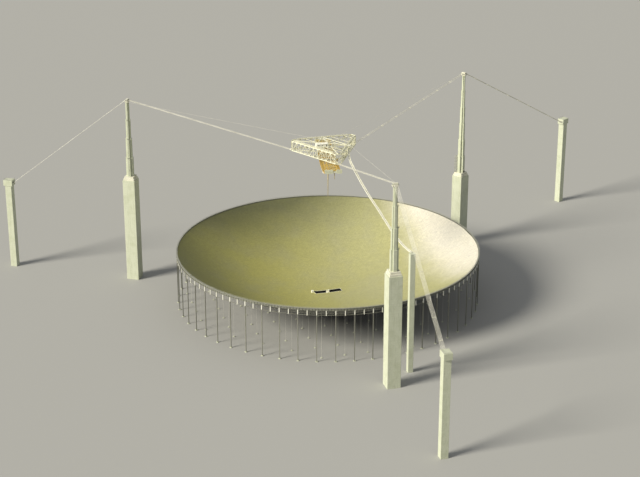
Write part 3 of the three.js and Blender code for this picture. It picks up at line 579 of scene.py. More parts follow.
def weathered(tree, clean, faded, dirt, patch, fading, runs, speckle):
    """The weather group on object coordinates."""
    return shared(tree, WEATHER, {
        "Place": object_place(tree), "Clean": clean, "Faded": faded, "Dirt": dirt,
        "Patch": patch, "Fading": fading, "Runs": runs, "Speckle": speckle,
    })


def concrete_finish(name, clean, faded, dirt, runs=0.5):
    """Board-marked concrete with formwork joints, broad fading and runs of dirt."""
    made, tree, shader = material(name)
    weather = weathered(tree, clean, faded, dirt, 7.0, 0.7, runs, 0.25)
    joints = shared(tree, JOINTS, {"Place": object_place(tree)})
    fill(tree, shader, {
        "Base Color": blend(tree, times(tree, joints["Mask"], 0.35), weather["Color"], dirt),
        "Roughness": sloped(tree, weather["Mask"], 0.82, 0.12),
        "Normal": bump(tree, joints["Height"], 0.5, 0.03),
    })
    return made


def painted_finish(name, clean, faded, dirt, rust, roughness=0.5, metal=0.0):
    """Painted steel: faded paint with runs of dirt, and rust that breaks through it."""
    made, tree, shader = material(name)
    weather = weathered(tree, clean, faded, dirt, 4.0, 0.6, 0.3, 0.08)
    rusty = shared(tree, RUST, {"Place": object_place(tree), "Paint": weather["Color"], "Amount": rust})
    fill(tree, shader, {
        "Base Color": rusty["Color"],
        "Roughness": sloped(tree, rusty["Mask"], roughness, 0.9 - roughness),
        "Metallic": metal,
        "Normal": bump(tree, maths(tree, "ADD", weather["Height"], rusty["Mask"]), 0.25, 0.02),
    })
    return made


def cable_finish(name, clean, dark):
    """Stranded galvanised cable: painted shade darkens the grooves of its twist, which also stands out as
    bump.
    """
    made, tree, shader = material(name)
    twist = shared(tree, STRANDS, {"Run": run_place(tree)})
    weather = weathered(tree, clean, dark, dark, 9.0, 0.5, 0.2, 0.2)
    fill(tree, shader, {
        # Painted shade: the grooves between strands are blended towards the dark colour
        "Base Color": blend(tree, times(tree, twist["Mask"], 0.4), weather["Color"], dark),
        "Roughness": sloped(tree, twist["Mask"], 0.4, 0.35),
        "Metallic": 0.15,
        "Normal": bump(tree, twist["Height"], 0.7, 0.03),
    })
    return made


def panel_finish():
    """Dull aluminium sheet: khaki, with painted shade that darkens it with the square of Y - X / 4 and
    towards -X, and a painted sheen that pales it towards +X and turns it cream at high X. Each panel has
    a tone of its own, seams are dark, and the underside, whose tone is below 0, is painted dark grey as
    shade."""
    made, tree, shader = material("dull_aluminium_panels")
    place = object_place(tree)
    seams = shared(tree, PANELS, {"Run": run_place(tree)})
    x, y, _ = split(tree, place)
    ragged = times(tree, maths(tree, "SUBTRACT", noise(tree, place, 0.5, 5), 0.5), 1.6)
    x, y = maths(tree, "ADD", x, ragged), maths(tree, "ADD", y, ragged)
    # Painted shade: darker with the square of Y - X / 4 (share) and towards -X (side)
    across = maths(tree, "SUBTRACT", y, times(tree, x, 0.25))
    values = {"Value": across, "From Min": 40 * METRE, "From Max": 150 * METRE}
    share = node(tree, "MapRange", values).outputs["Result"]
    side = times(tree, step_between(tree, x, -60 * METRE, -150 * METRE), 0.5)
    painted_shade = maths(tree, "MAXIMUM", times(tree, share, share), side)
    # Painted sheen: the khaki pales slightly towards +X
    sheen_paled_khaki = blend(tree, step_between(tree, x, -70 * METRE, 70 * METRE), "B0AC62", "B1AF7C")
    khaki = blend(tree, painted_shade, sheen_paled_khaki, "6E6F4B")
    # Painted highlight: a cream sheen at high X, held in clean
    clean = blend(tree, step_between(tree, x, 86 * METRE, 134 * METRE), khaki, "E0DBCB")
    weather = weathered(tree, clean, toned(tree, clean, 0.94, 0.85), "857C54", 30.0, 0.8, 0.1, 0.25)
    tone = node(tree, "Attribute", attribute_name="tone").outputs["Fac"]
    sheet = toned(tree, weather["Color"], sloped(tree, tone, 0.91, 0.2))
    upper = blend(tree, times(tree, seams["Mask"], 0.6), sheet, "5A583F")
    fill(tree, shader, {
        # Painted shade: the underside, whose tone is below 0, turns dark grey
        "Base Color": blend(tree, step_between(tree, tone, 0.0, -0.5), upper, "57584F"),
        "Roughness": sloped(tree, tone, 0.58, 0.1),
        "Metallic": 0.1,
        "Normal": bump(tree, seams["Height"], 0.3, 0.04),
    })
    return made


panels_material = panel_finish()
concrete_material = concrete_finish("board_marked_concrete", "C8CCB5", "B8BDA2", "8C9078")
bright_concrete = concrete_finish("limewashed_concrete", "DCDAC8", "CBCAB5", "A09D87", 0.35)
white_paint = painted_finish("white_steel_paint", "E6E5CD", "D8D7BD", "B3AE8F", 0.16)
dull_white = painted_finish("dull_white_paint", "CFD1B8", "BDBFA4", "8F8F75", 0.2, 0.55)
ochre_paint = painted_finish("ochre_steel_paint", "D6BA69", "C4A75C", "8F763D", 0.28, 0.6)
grey_paint = painted_finish("grey_steel_paint", "B2B3A8", "9C9E94", "696A60", 0.2, 0.55, 0.1)
dark_steel = painted_finish("dark_steel", "4A4B45", "3B3C37", "2A2A26", 0.2, 0.6, 0.3)
cable_material = cable_finish("stranded_cable", "ECEADB", "A9A797")
# Painted shade: the rim girder and lower ring get dark grey because their outer faces stand in shade; their
# rust and dirt are real wear
rim_steel_painted_shade = painted_finish("rim_steel_with_painted_shade", "85867A", "74756A", "56574D", 0.25, 0.6, 0.1)
feed_material = painted_finish("tan_feed_metal", "BDAF84", "A99C74", "7A6D48", 0.1, 0.4, 0.5)
house_paint = painted_finish("white_house_paint", "F0EFE2", "E5E4D4", "C8C5B0", 0.1, 0.45)


# Reflector

def rim_lines():
    """Panel lines across x, evenly from the slots' edges outwards, and across y, with the rim's ends."""
    count = math.ceil(RIM_RADIUS / PANEL_LONG)
    right = BRIDGE / 2 + PANEL_LONG * np.arange(count)
    x = np.concatenate([-right[::-1], right])
    y = SLOT_Y + SLOT_DEPTH / 2 + PANEL_SHORT * np.arange(-160, 160)
    y = y[np.abs(y) < RIM_RADIUS - 0.6]
    ends = np.array([RIM_RADIUS - 0.25, RIM_RADIUS])
    return x, np.concatenate([-ends[::-1], y, ends])


def dish_surface(x, y, below=0.0):
    """The sphere's height: centre - sqrt((radius + below)^2 - x^2 - y^2)."""
    return SPHERE_CENTRE - np.sqrt((SPHERE_RADIUS + below) ** 2 - x**2 - y**2)


def dish_panels():
    """The reflector as flat panels. Row y holds the column lines cut at the half chord
    sqrt(rim^2 - y^2); points that meet there are merged, and faces without area are dropped."""
    columns, rows = rim_lines()
    chord = np.sqrt(np.maximum(RIM_RADIUS**2 - rows**2, 0))[:, None]
    x = np.clip(columns[None], -chord, chord)
    y = np.broadcast_to(rows[:, None], x.shape)
    flat = np.stack([x.ravel(), y.ravel()], 1)
    kept, number = np.unique(flat.round(4), axis=0, return_inverse=True)
    number = number.reshape(x.shape)
    around = [number[:-1, :-1], number[:-1, 1:], number[1:, 1:], number[1:, :-1]]
    quads = np.stack(around, -1).reshape(-1, 4)
    middle = kept[quads].mean(axis=1)
    beside = np.abs(np.abs(middle[:, 0]) - (SLOT_REACH + BRIDGE / 2) / 2) < (SLOT_REACH - BRIDGE / 2) / 2
    quads = quads[~(beside & (np.abs(middle[:, 1] - SLOT_Y) < SLOT_DEPTH / 2))]
    distinct = quads != np.roll(quads, 1, axis=1)
    quads, distinct = quads[distinct.sum(1) > 2], distinct[distinct.sum(1) > 2]
    lift = rng.uniform(-0.006, 0.006, len(kept))
    points = np.column_stack([kept, dish_surface(*kept.T) + lift])
    outward = unit(points - [0, 0, SPHERE_CENTRE])
    points = np.concatenate([points, points + outward * PANEL_SLAB])
    return slab(points, quads[distinct], distinct.sum(1), distinct)


def slab(points, top, sizes, distinct):
    """The panels' upper faces, the same faces turned over below, and a wall under each edge that only
    one face has. Each face has a tone; a lower face's is 2 less, which marks it for painted shade."""
    count = len(points) // 2
    first = np.cumsum(sizes) - sizes
    face = np.arange(len(sizes)).repeat(sizes)
    step = np.arange(len(top)) - first[face]
    after = top[first[face] + (step + 1) % sizes[face]]
    before_turn = first[face] + (sizes[face] - 1 - step)
    under = top[before_turn] + count
    code, back = top * count + after, after * count + top
    edge = ~np.isin(code, back)
    a, b = top[edge], after[edge]
    walls = np.stack([b, a, a + count, b + count], 1)
    spread = points[:count, :2] / (2 * RIM_RADIUS) + 0.5
    top_map = spread[top] * [0.98, 0.64] + [0.01, 0.01]
    under_map = spread[top[before_turn]] * [0.98, 0.32] + [0.01, 0.67]
    wall_map = (spread[walls % count] * [0.98, 0.64] + [0.01, 0.01]).reshape(-1, 2)
    metres = np.array([[0, 0], [PANEL_LONG, 0], [PANEL_LONG, PANEL_SHORT], [0, PANEL_SHORT]])
    run = np.broadcast_to(metres, (len(sizes), 4, 2))[distinct]
    shape = Shape(
        points,
        np.concatenate([top, under, walls.ravel()]),
        np.concatenate([sizes, sizes, np.full(len(walls), 4)]),
        np.concatenate([top_map, under_map, wall_map]),
        np.concatenate([run, run[before_turn], np.full((walls.size, 2), PANEL_SHORT / 2)]),
        np.zeros(2 * len(sizes) + len(walls), int),
    )
    tone = rng.normal(0.5, 0.22, len(sizes)).clip(0, 1)
    return shape, np.concatenate([tone, tone - 2, np.full(len(walls), 0.5)])


def dish_net():
    """Cables under the panels, along x and along y: each follows the sphere a little below them."""
    spacing, below = 3 * PANEL_LONG, PANEL_SLAB + NET_DEPTH
    lines = spacing * (np.arange(math.floor(RIM_RADIUS / spacing) * 2) + 0.5)
    lines = lines - lines.mean()
    along = np.sqrt(RIM_RADIUS**2 - lines**2)[:, None] * np.linspace(-0.998, 0.998, 33)
    across = np.broadcast_to(lines[:, None], along.shape)
    ropes = []
    for x, y, drop, free in ((along, across, below, 6), (across, along, below + 0.14, SLOT_REACH + 1)):
        path = spots(x, y, dish_surface(x, y, drop))[np.abs(lines) > free]
        ropes.append(sweep(path, disc(0.06, 4), unit([0, 0, SPHERE_CENTRE] - path)))
    return join(*ropes)


def publish_dish():
    shape, tone = dish_panels()
    publish("dish_panels", shape, "structure", "reflector_panels", panels_material, "dish_shell", tone=tone)
    publish("dish_net", dish_net(), "structure", "cable_steel", cable_material)


# Rim

def ring_posts(turns, low, high, profile, radius=GIRDER_RADIUS):
    """Upright members on a circle, each facing outwards."""
    outward = polar(1.0, turns, 0.0)[:, None]
    return bars(polar(radius, turns, low), polar(radius, turns, high), profile, outward)


def rim_girder(index):
    """One arc of the rim: a plate girder with stiffeners, its columns with knees, and their base plates
    with four nuts each."""
    inset = GAP / RIM_RADIUS
    start, span = index * ARC + inset, ARC - 2 * inset
    path = polar(GIRDER_RADIUS, np.linspace(start, start + span, 37), (GIRDER_TOP + GIRDER_LOW) / 2)
    girder = sweep(path, h_beam(GIRDER_WIDTH, GIRDER_TOP - GIRDER_LOW, 0.12, 0.16))
    stiff = start + span * (np.arange(54) + 0.5) / 54
    plates = [ring_posts(stiff, GIRDER_LOW + 0.12, GIRDER_TOP - 0.12, rect(0.1, 0.48), GIRDER_RADIUS + out)
              for out in (-0.33, 0.33)]
    posts = start + ARC * (np.arange(POSTS_PER_ARC) + 0.5) / POSTS_PER_ARC
    columns = ring_posts(posts, BASE_TOP, GIRDER_LOW, h_beam(0.7, 0.7, 0.1, 0.1))
    base = ring_posts(posts, PAD_TOP, BASE_TOP, rect(1.2))
    outward, beside = polar(1.0, posts, 0.0), polar(1.0, posts + math.pi / 2, 0.0)
    feet = polar(GIRDER_RADIUS, posts, BASE_TOP - 0.01)
    corners = 0.48 * np.array([(-1, -1), (1, -1), (1, 1), (-1, 1)])
    nuts = [uprights(feet + a * outward + b * beside, 0.12, disc(0.05, 6)) for a, b in corners]
    drop = 2.2
    knees = [bars(polar(GIRDER_RADIUS, posts, GIRDER_LOW - drop),
                  polar(GIRDER_RADIUS, posts + turn * drop / GIRDER_RADIUS, GIRDER_LOW),
                  rect(0.25), outward[:, None]) for turn in (-1, 1)]
    return join(girder, *plates, columns, base, *nuts, *knees)


def rim_band(index):
    """White posts halfway between the columns, with shoes at the lower ring, and white sleeves on the
    columns from that ring, all up to the girder."""
    bay = ARC / POSTS_PER_ARC
    halves = index * ARC + bay * np.arange(POSTS_PER_ARC)
    posts = ring_posts(halves, LOWER_RING - 0.3, GIRDER_LOW, h_beam(0.7, 0.7, 0.1, 0.1))
    shoes = ring_posts(halves, LOWER_RING - 0.36, LOWER_RING - 0.3, rect(1.0))
    sleeves = ring_posts(halves + bay / 2, LOWER_RING, GIRDER_LOW, rect(0.74))
    return join(posts, shoes, sleeves)


def rim_ring(index):
    """One arc of the lower ring beam."""
    turn = np.linspace(index * ARC + 0.0002, (index + 1) * ARC - 0.0002, 37)
    return sweep(polar(GIRDER_RADIUS, turn, LOWER_RING), h_beam(0.36, 0.4, 0.07, 0.07))


def rim_walk():
    """The walkway on the girder: a grating of cross bars between two edge strips, with handrails."""
    turn = 2 * np.pi * np.arange(1080) / 1080
    inner, outer = (polar(GIRDER_RADIUS + half, turn, GIRDER_TOP + 0.04) for half in (-0.5, 0.5))
    shapes = [bars(inner, outer, rect(0.3, 0.05))]
    circle = np.linspace(0, 2 * np.pi, 217)
    posts = 2 * np.pi * np.arange(324) / 324
    for radius in (GIRDER_RADIUS - 0.52, GIRDER_RADIUS + 0.52):
        for height, size in ((0.04, 0.08), (MID_RAIL, 0.05), (TOP_RAIL, 0.06)):
            ring = polar(radius, circle, GIRDER_TOP + height)
            ring[-1] = ring[0]
            shapes.append(sweep(ring, rect(size)))
        shapes.append(uprights(polar(radius, posts, GIRDER_TOP), TOP_RAIL, disc(0.04, 5)))
    return join(*shapes)


def rim_pads():
    """A concrete pad under each column."""
    total = ARCS * POSTS_PER_ARC
    pad = block(GIRDER_RADIUS, 0, 2.2, 2.2, 0, PAD_TOP)
    return join(*[turned(pad, 360 * (i + 0.5) / total) for i in range(total)])


def publish_rim():
    for i in range(ARCS):
        name, replaced = f"rim_girder_{i + 1}", f"rim_arc_{i + 1}"
        publish(name, rim_girder(i), "structure", "grey_steel", rim_steel_painted_shade, replaced)
    posts, ring = (join(*[part(i) for i in range(ARCS)]) for part in (rim_band, rim_ring))
    publish("rim_band_posts", posts, "structure", "white_steel", house_paint)
    publish("rim_lower_ring", ring, "structure", "grey_steel", rim_steel_painted_shade)
    publish("rim_walkway", rim_walk(), "structure", "grey_steel", grey_paint)
    publish("rim_column_pads", rim_pads(), "structure", "concrete", concrete_material)


# Towers

def tiers(tower):
    """Each tier's width, its lower and upper level, and whether it is the last."""
    foot, count = RIM + tower["base"] + GAP, len(tower["widths"])
    for i, width in enumerate(tower["widths"]):
        last = i + 1 == count
        yield width, foot + tower["tier"] * i, TOWER_TOP if last else foot + tower["tier"] * (i + 1), last


def pour_rows(low, high, width):
    """Heights and widths up a cast shaft: a shallow groove at each pour between two levels."""
    pours = np.arange(low + POUR, high - 0.6, POUR)[:, None]
    heights = (pours + [-0.05, -0.02, 0.02, 0.05]).ravel()
    widths = np.tile([width, width - 0.1, width - 0.1, width], len(pours))
    return np.concatenate([[low], heights, [high]]), np.concatenate([[width], widths, [width]])


def pier(x, y, top, width, chamfer):
    """A square pier from the floor, grooved at its pours."""
    z, w = pour_rows(0, top, width)
    return upright(eight(w, w, chamfer), z, x, y)


def tower_shaft(tower):
    """The stepped shaft with its plus-shaped plan: each tier has grooves at its pours and a coping."""
    heights, widths = [], []
    for width, low, high, _ in tiers(tower):
        z, w = pour_rows(low, high - 0.4, width)
        heights += [*z, high - 0.4, high - 0.05, high]
        widths += [*w, width + 0.24, width + 0.24, width + 0.14]
    return upright(plus(widths), heights, TOWER_REACH)


def footing_steps(tower):
    """The two upper blocks of a footing, each a step in from the one below, with bevelled edges."""
    base = RIM + tower["base"] - FOOTING_HEIGHT
    heights, sides = [], []
    for i, side in ((1, FOOTING_WIDTH - 1.5), (2, FOOTING_WIDTH - 3)):
        level = base + FOOTING_HEIGHT * i / 2
        heights += [level - FOOTING_HEIGHT / 2, level - CHAMFER, level]
        sides += [side, side, side - 2 * CHAMFER]
    return upright(eight(sides, sides, 0.25), heights, TOWER_REACH)


def tower_door(tower):
    """A door at the foot of the arm that faces the view: a frame with a hood, and two leaves."""
    face, floor, half, high = -tower["widths"][0] / 2, RIM + tower["base"] + 0.02, 1.4, 2.8
    x, head = TOWER_REACH, floor + high
    jambs = [uprights((x + s * half, face - 0.06, floor), high, rect(0.2, 0.16)) for s in (-1, 1)]
    lintel = along_x(x, face - 0.06, head, half + 0.1, rect(0.16, 0.2))
    hood = along_x(x, face - 0.35, head + 0.2, half + 0.3, rect(0.7, 0.1))
    leaves = [uprights((x + s * 0.68, face - 0.03, floor), high - 0.1, rect(1.3, 0.08)) for s in (-1, 1)]
    return join(*jambs, lintel, hood), join(*leaves)


def tower_cap():
    """A crosshead slab, a pedestal and the saddle housing."""
    low = TOWER_TOP + GAP
    top = low + CAP_SLAB
    grow = np.array([-0.9, -0.9, 0, 0, -0.16])
    levels = [low, low + 0.5, low + 0.7, top - CHAMFER, top]
    crosshead = upright(eight(3.2 + grow * 0.4, 6 + grow, 0.12), levels, TOWER_REACH)
    pedestal = block(TOWER_REACH, 0, 1.9, 4.4, top, top + 0.9)
    housing = block(TOWER_REACH, 0, 2 * SADDLE_HALF, 4.8, top + 0.5, top + SADDLE_HEIGHT, 0.12)
    return join(crosshead, pedestal, housing)


def cap_fittings():
    """Steel on a cap: a handrail round the slab, saddle cheeks and the rollers between them."""
    floor = TOWER_TOP + GAP + CAP_SLAB
    cheeks = [uprights((TOWER_REACH, side * 2.46, floor + 0.2), SADDLE_HEIGHT - 0.3, rect(0.1, 1.8))
              for side in (-1, 1)]
    y = 0.95 * (np.arange(4) - 1.5)
    rollers = along_x(TOWER_REACH, y, floor + SADDLE_HEIGHT - 0.16, 0.9, disc(0.15, 8))
    return join(fence(TOWER_REACH, 1.5, 2.9, floor, MID_RAIL, 0.05), *cheeks, rollers)


def ladder(face, low, high):
    """A caged ladder in front of a face, climbing from low to high: stiles, rungs and hoops."""
    y = face + 0.3
    stiles = uprights(spots(TOWER_REACH + np.array([-0.25, 0.25]), y, low), high - low, rect(0.06, 0.1))
    rungs = along_x(TOWER_REACH, y, np.arange(low + 0.3, high, 0.4), 0.25, disc(0.025, 5))
    level, turn = np.arange(low + 2.2, high, 1.5)[:, None], np.linspace(0, np.pi, 7)
    hoops = spots(TOWER_REACH + 0.42 * np.cos(turn), y + 0.75 * np.sin(turn), level)
    return join(stiles, rungs, sweep(hoops, rect(0.05, 0.03)))


def tower_ladder(tower):
    """A ladder up the end of one arm, with a railed landing at each tier's step."""
    parts = []
    for width, low, high, last in tiers(tower):
        face = width / 2 + 0.12
        parts.append(ladder(face, low + 0.1, high + (-0.4 if last else 1.0)))
        if last:
            continue
        edge, level = face + 1.1, high - 0.1
        slats = TOWER_REACH + np.linspace(-0.8, 0.8, 12)
        parts.append(bars(spots(slats, face - 0.1, level), spots(slats, edge, level), rect(0.09, 0.05)))
        sides = TOWER_REACH + np.array([-0.85, -0.85, 0.85, 0.85])
        parts += rails(spots(sides, [face, edge, edge, face], level), (0.0, MID_RAIL, TOP_RAIL), rect(0.05))
        parts.append(uprights(spots(sides, [face + 0.1, edge] * 2, level), TOP_RAIL, rect(0.05)))
    return join(*parts)


def anchor_block(tower):
    """An anchor: a block with a bevelled head on a pier that is grooved at its pours."""
    reach, top = tower["anchor"]
    low = RIM + top - ANCHOR_HIGH
    head = block(reach, 0, ANCHOR_LONG, ANCHOR_WIDE, low, RIM + top, 0.2)
    return join(pier(reach, 0, low, ANCHOR_PIER, 0.15), head)


def anchor_fittings(tower):
    """Steel on an anchor: a bearing plate, a bolt over and under each stay, and a handrail on top."""
    reach, top = tower["anchor"]
    count, spacing, _ = STAY_SET
    x, hold = reach - ANCHOR_LONG / 2, RIM + top - ANCHOR_HIGH / 2
    ends = spots(x, spacing * (np.arange(count) - (count - 1) / 2), hold)
    plate = bars((x - 0.1, 0, hold), (x, 0, hold), rect(5.2, 1.9))
    nuts = [bars(ends + [-0.35, 0, h], ends + [0, 0, h], disc(0.14, 6)) for h in (-0.7, 0.7)]
    return join(plate, *nuts, fence(reach, 4.7, 3.7, RIM + top, LOW_RAIL, 0.06))


def cable_set(count, spacing, radius, start, end):
    """Parallel round cables with tapered sockets at both ends, spacer clamps, and a beam at each end."""
    start, end = np.asarray(start, float), np.asarray(end, float)
    length = np.linalg.norm(end - start)
    way = (end - start) / length
    offsets = spots(0, spacing * (np.arange(count) - (count - 1) / 2), 0)[:, None]
    cables = sweep(start + offsets + way * np.linspace(0, length, 9)[:, None], disc(radius, 10))
    taper, sizes = np.array([0.3, 0.5, 0.9, 2.2]), np.array([2.1, 2.3, 2.2, 1.15])
    near = sweep(start + offsets + way * taper[:, None], disc(radius, 10), scale=sizes)
    far = sweep(end + offsets - way * taper[::-1, None], disc(radius, 10), scale=sizes[::-1])
    half = (count - 1) * spacing / 2
    beams = [along_y(x, 0, z, half + 0.3, h_beam(0.6, 0.6, 0.1, 0.14)) for x, _, z in (start, end)]
    x, _, z = (start + way * np.arange(CLAMP_STEP, length - 10, CLAMP_STEP)[:, None]).T
    spacers = along_y(x, 0, z, half + radius + 0.06, rect(0.2, 2 * radius + 0.06))
    return join(cables, near, far), join(*beams, spacers)


def publish_tower(name, heading, tower):
    def put(title, shape, slot, finish, *replaced):
        publish(f"{name}_{title}", turned(shape, heading), "structure", slot, finish, *replaced)

    footing = pier(TOWER_REACH, 0, RIM + tower["base"] - FOOTING_HEIGHT, FOOTING_WIDTH, 0.25)
    put("shaft_concrete", tower_shaft(tower), "concrete", concrete_material, f"{name}_tower_shaft")
    put("footing_pier", footing, "concrete", concrete_material, f"{name}_tower_footing")
    put("footing_steps", footing_steps(tower), "concrete", bright_concrete, f"{name}_tower_footing")
    put("cap_concrete", tower_cap(), "concrete", bright_concrete, f"{name}_tower_cap")
    put("cap_steel", cap_fittings(), "grey_steel", grey_paint)
    put("ladder", tower_ladder(tower), "grey_steel", grey_paint)
    if name == "far":
        door_frame, door_leaves = tower_door(tower)
        put("door_frame", door_frame, "white_steel", white_paint)
        # Painted shade: the leaves' dark steel stands in for the shade of the doorway
        put("door_leaves", door_leaves, "grey_steel", dark_steel)
    put("anchor_concrete", anchor_block(tower), "concrete", concrete_material, f"{name}_anchor_block")
    put("anchor_steel", anchor_fittings(tower), "grey_steel", grey_paint)
    reach, top = tower["anchor"]
    inner = (TOWER_REACH - SADDLE_HALF - SOCKET, 0, SADDLE_LEVEL)
    corner = (CORNER_REACH + CHORD / 2 + SOCKET, 0, PLATFORM_LOW)
    outer = (TOWER_REACH + SADDLE_HALF + SOCKET, 0, SADDLE_LEVEL)
    hold = (reach - ANCHOR_LONG / 2 - SOCKET, 0, RIM + top - ANCHOR_HIGH / 2)
    main, main_steel = cable_set(*MAIN_SET, inner, corner)
    stays, stay_steel = cable_set(*STAY_SET, outer, hold)
    put("main_ropes", main, "cable_steel", cable_material, f"{name}_main_cables")
    put("stay_ropes", stays, "cable_steel", cable_material, f"{name}_backstays")
    put("rope_fittings", join(main_steel, stay_steel), "white_steel", white_paint)


# Platform

def side_truss():
    """One deep side: chords, posts, diagonals with thin rods across them, and bolted gussets."""
    y, outward = WEB_SPAN * np.linspace(-1, 1, SIDE_BAYS + 1), (1, 0, 0)
    low, high = (spots(SIDE_REACH, y, z) for z in (PLATFORM_LOW, PLATFORM_TOP))
    chords = [along_y(SIDE_REACH, 0, z, CHORD_HALF, h_beam(CHORD, CHORD, 0.12, 0.2), outward)
              for z in (PLATFORM_LOW, PLATFORM_TOP)]
    posts = bars(low, high, h_beam(0.4, 0.4, 0.07, 0.08), outward)
    webs = crossed_webs(low, high, h_beam(0.36, 0.36, 0.06, 0.07), rect(0.1), outward)
    gussets = []
    for points, inward in ((low, 1), (high, -1)):
        for side in (-1, 1):
            foot = points + [side * 0.24, -0.9, inward * 0.45]
            gussets.append(bars(foot, foot + [0, 1.8, 0], rect(0.05, 1.1)))
            for out, level in ((0.26, inward * 0.7), (0.345, 0)):
                face = points + [side * out, 0, level]
                gussets.append(bolts(face, (0, 0.78, 0), 8, (0, 0, 0.2), 2, (side, 0, 0)))
    return join(*chords, posts, *webs, *gussets)


def corner_frame():
    """The upright frame at a corner: beams, posts, crossed bars and ties."""
    half, x, outward = CORNER_HALF + 0.2, CORNER_REACH, (1, 0, 0)
    levels, ends = np.linspace(PLATFORM_LOW, PLATFORM_TOP, 4), np.array([-half, half])
    beams = [along_y(x, 0, z, half, h_beam(CHORD, CHORD, 0.12, 0.2), outward)
             for z in (PLATFORM_LOW, PLATFORM_TOP)]
    feet, heads = (spots(x, ends, z) for z in (PLATFORM_LOW, PLATFORM_TOP))
    posts = bars(feet, heads, h_beam(0.56, 0.56, 0.09, 0.1), outward)
    crosses = [bars(spots(x, -s * half, levels[:-1]), spots(x, s * half, levels[1:]), rect(0.22), outward)
               for s in (1, -1)]
    ties = along_y(x, 0, levels[1:-1], half, rect(0.3), outward)
    return join(*beams, posts, *crosses, ties)


def cut_to_platform(a, b):
    """Level lines cut to the platform's triangle: each line's two ends are the nearest crossings of the
    six edges. A line that runs beside an edge and outside it is dropped."""
    way = b - a
    first, last = np.full(len(a), -np.inf), np.full(len(a), np.inf)
    outside = np.zeros(len(a), bool)
    edges = [(h, SIDE_REACH) for h in SIDES.values()] + [(h, CORNER_REACH) for h in CORNERS.values()]
    for heading, reach in edges:
        normal = polar(1.0, math.radians(heading), 0.0)
        slope, gap = way @ normal, reach - 0.4 - a @ normal
        beside = np.abs(slope) < 1e-9
        share = gap / np.where(beside, 1, slope)
        last = np.where(~beside & (slope > 0), np.minimum(last, share), last)
        first = np.where(~beside & (slope < 0), np.maximum(first, share), first)
        outside |= beside & (gap < 0)
    keep = (last - first > 0.02) & ~outside
    return (a + way * first[:, None])[keep], (a + way * last[:, None])[keep]


def platform_joists():
    """A few joists of both levels, cut to the triangle, with rods that cross them. They are sparse,
    because the photo shows the back side through the open top."""
    joist, rod = h_beam(0.24, 0.3, 0.05, 0.06), rect(0.1)
    shapes = []
    for level, heading, spacing, profile in (
        (PLATFORM_TOP, 210, 11.6, joist),
        (PLATFORM_LOW, 210, 11.6, joist),
        (PLATFORM_TOP + 0.2, 105, 13.8, rod),
        (PLATFORM_LOW + 0.2, 75, 13.8, rod),
    ):
        normal = polar(1.0, math.radians(heading), 0.0)
        along = np.array([-normal[1], normal[0], 0])
        base = spacing * (np.arange(-8, 9) + 0.5)[:, None] * normal + [0, 0, level]
        shapes.append(bars(*cut_to_platform(base - along, base + along), profile))
    return join(*shapes)


def walkway(start, end, width=1.0, heights=(LOW_RAIL, TOP_RAIL)):
    """A grated walkway between two points: slats, two edge strips, and handrails on posts."""
    start, end = np.asarray(start, float), np.asarray(end, float)
    length = np.linalg.norm(end - start)
    way = (end - start) / length
    side = unit(np.cross([0, 0, 1.0], way)) * width / 2
    slats = start + way * np.arange(0.2, length, 0.4)[:, None]
    shapes = [bars(slats - side, slats + side, rect(0.22, 0.05))]
    posts = start + way * np.linspace(0.1, length - 0.1, max(2, round(length / 2)))[:, None]
    for turn in (-1, 1):
        shapes.append(bars(start + turn * side, end + turn * side, rect(0.06, 0.16)))
        shapes += rails([start + turn * side, end + turn * side], heights, disc(0.05, 5))
        shapes.append(uprights(posts + turn * side, heights[-1], disc(0.045, 5)))
    return join(*shapes)


def platform_walks():
    """Walkways inside each side's top chord, and one from the house to the middle."""
    x, level, half = SIDE_REACH - 1.2, PLATFORM_TOP + 0.42, 26
    beside = walkway((x, -half, level), (x, half, level))
    return join(*[turned(beside, heading) for heading in SIDES.values()],
                walkway((-3, -6.5, level), (-0.6, 0, level)))


def house_shell():
    """The house on the deck: ribbed walls under a pitched roof with standing seams."""
    x, y, length, width, wall, height = HOUSE
    eaves, top = width / 2 + 0.3, HOUSE_FLOOR + wall
    walls = ribbed_box(x, y, length, width, HOUSE_FLOOR, top, 0.3, 0.05)
    profile = [(-eaves, wall - 0.06), (eaves, wall - 0.06), (eaves, wall), (0, height), (-eaves, wall)]
    roof = along_x(x, y, HOUSE_FLOOR, length / 2, profile)
    seams = x + np.linspace(0.2, length - 0.2, 18) - length / 2
    ridge = spots(seams, y, HOUSE_FLOOR + height)
    ribs = [bars(spots(seams, y + side * eaves, top), ridge, rect(0.06, 0.12)) for side in (-1, 1)]
    return join(walls, roof, *ribs)


def house_frames(panes):
    """A white frame round each pane, with a bar down its middle."""
    shapes = []
    for x, y, z, w, h in panes:
        corners = spots(x + w / 2 * np.array([-1, 1, 1, -1]), y, z + h / 2 * np.array([-1, -1, 1, 1]))
        shapes.append(bars(corners, np.roll(corners, -1, axis=0), rect(0.1)))
        shapes.append(uprights((x, y, z - h / 2), h, rect(0.06)))
    return join(*shapes)


def publish_platform():
    def put(title, shape, finish, *replaced, slot="white_steel"):
        publish(title, shape, "structure", slot, finish, *replaced)

    for name, heading in SIDES.items():
        put(f"{name}_truss", turned(side_truss(), heading), white_paint, f"platform_{name}_side")
    for name, heading in CORNERS.items():
        put(f"{name}_corner_frame", turned(corner_frame(), heading), white_paint, f"platform_{name}_corner")
    put("platform_joists", platform_joists(), white_paint)
    put("platform_walkways", platform_walks(), white_paint)
    x, y, _, width, _, _ = HOUSE
    wall = width / 2 + 0.01
    panes = [(x + a, y + side * wall, HOUSE_FLOOR + 1.6, 0.9, 0.8) for side in (-1, 1) for a in (-3.6, 0.4)]
    panes.append((x + 4.2, y - wall, HOUSE_FLOOR + 1.05, 1.0, 2.1))
    glass = join(*[along_x(x, y, z, w / 2, rect(0.05, h)) for x, y, z, w, h in panes])
    put("house_shell", house_shell(), house_paint, "platform_house")
    put("house_frames", house_frames(panes), house_paint)
    put("house_glass_and_door", glass, dark_steel, slot="grey_steel")


# Ring track and arm

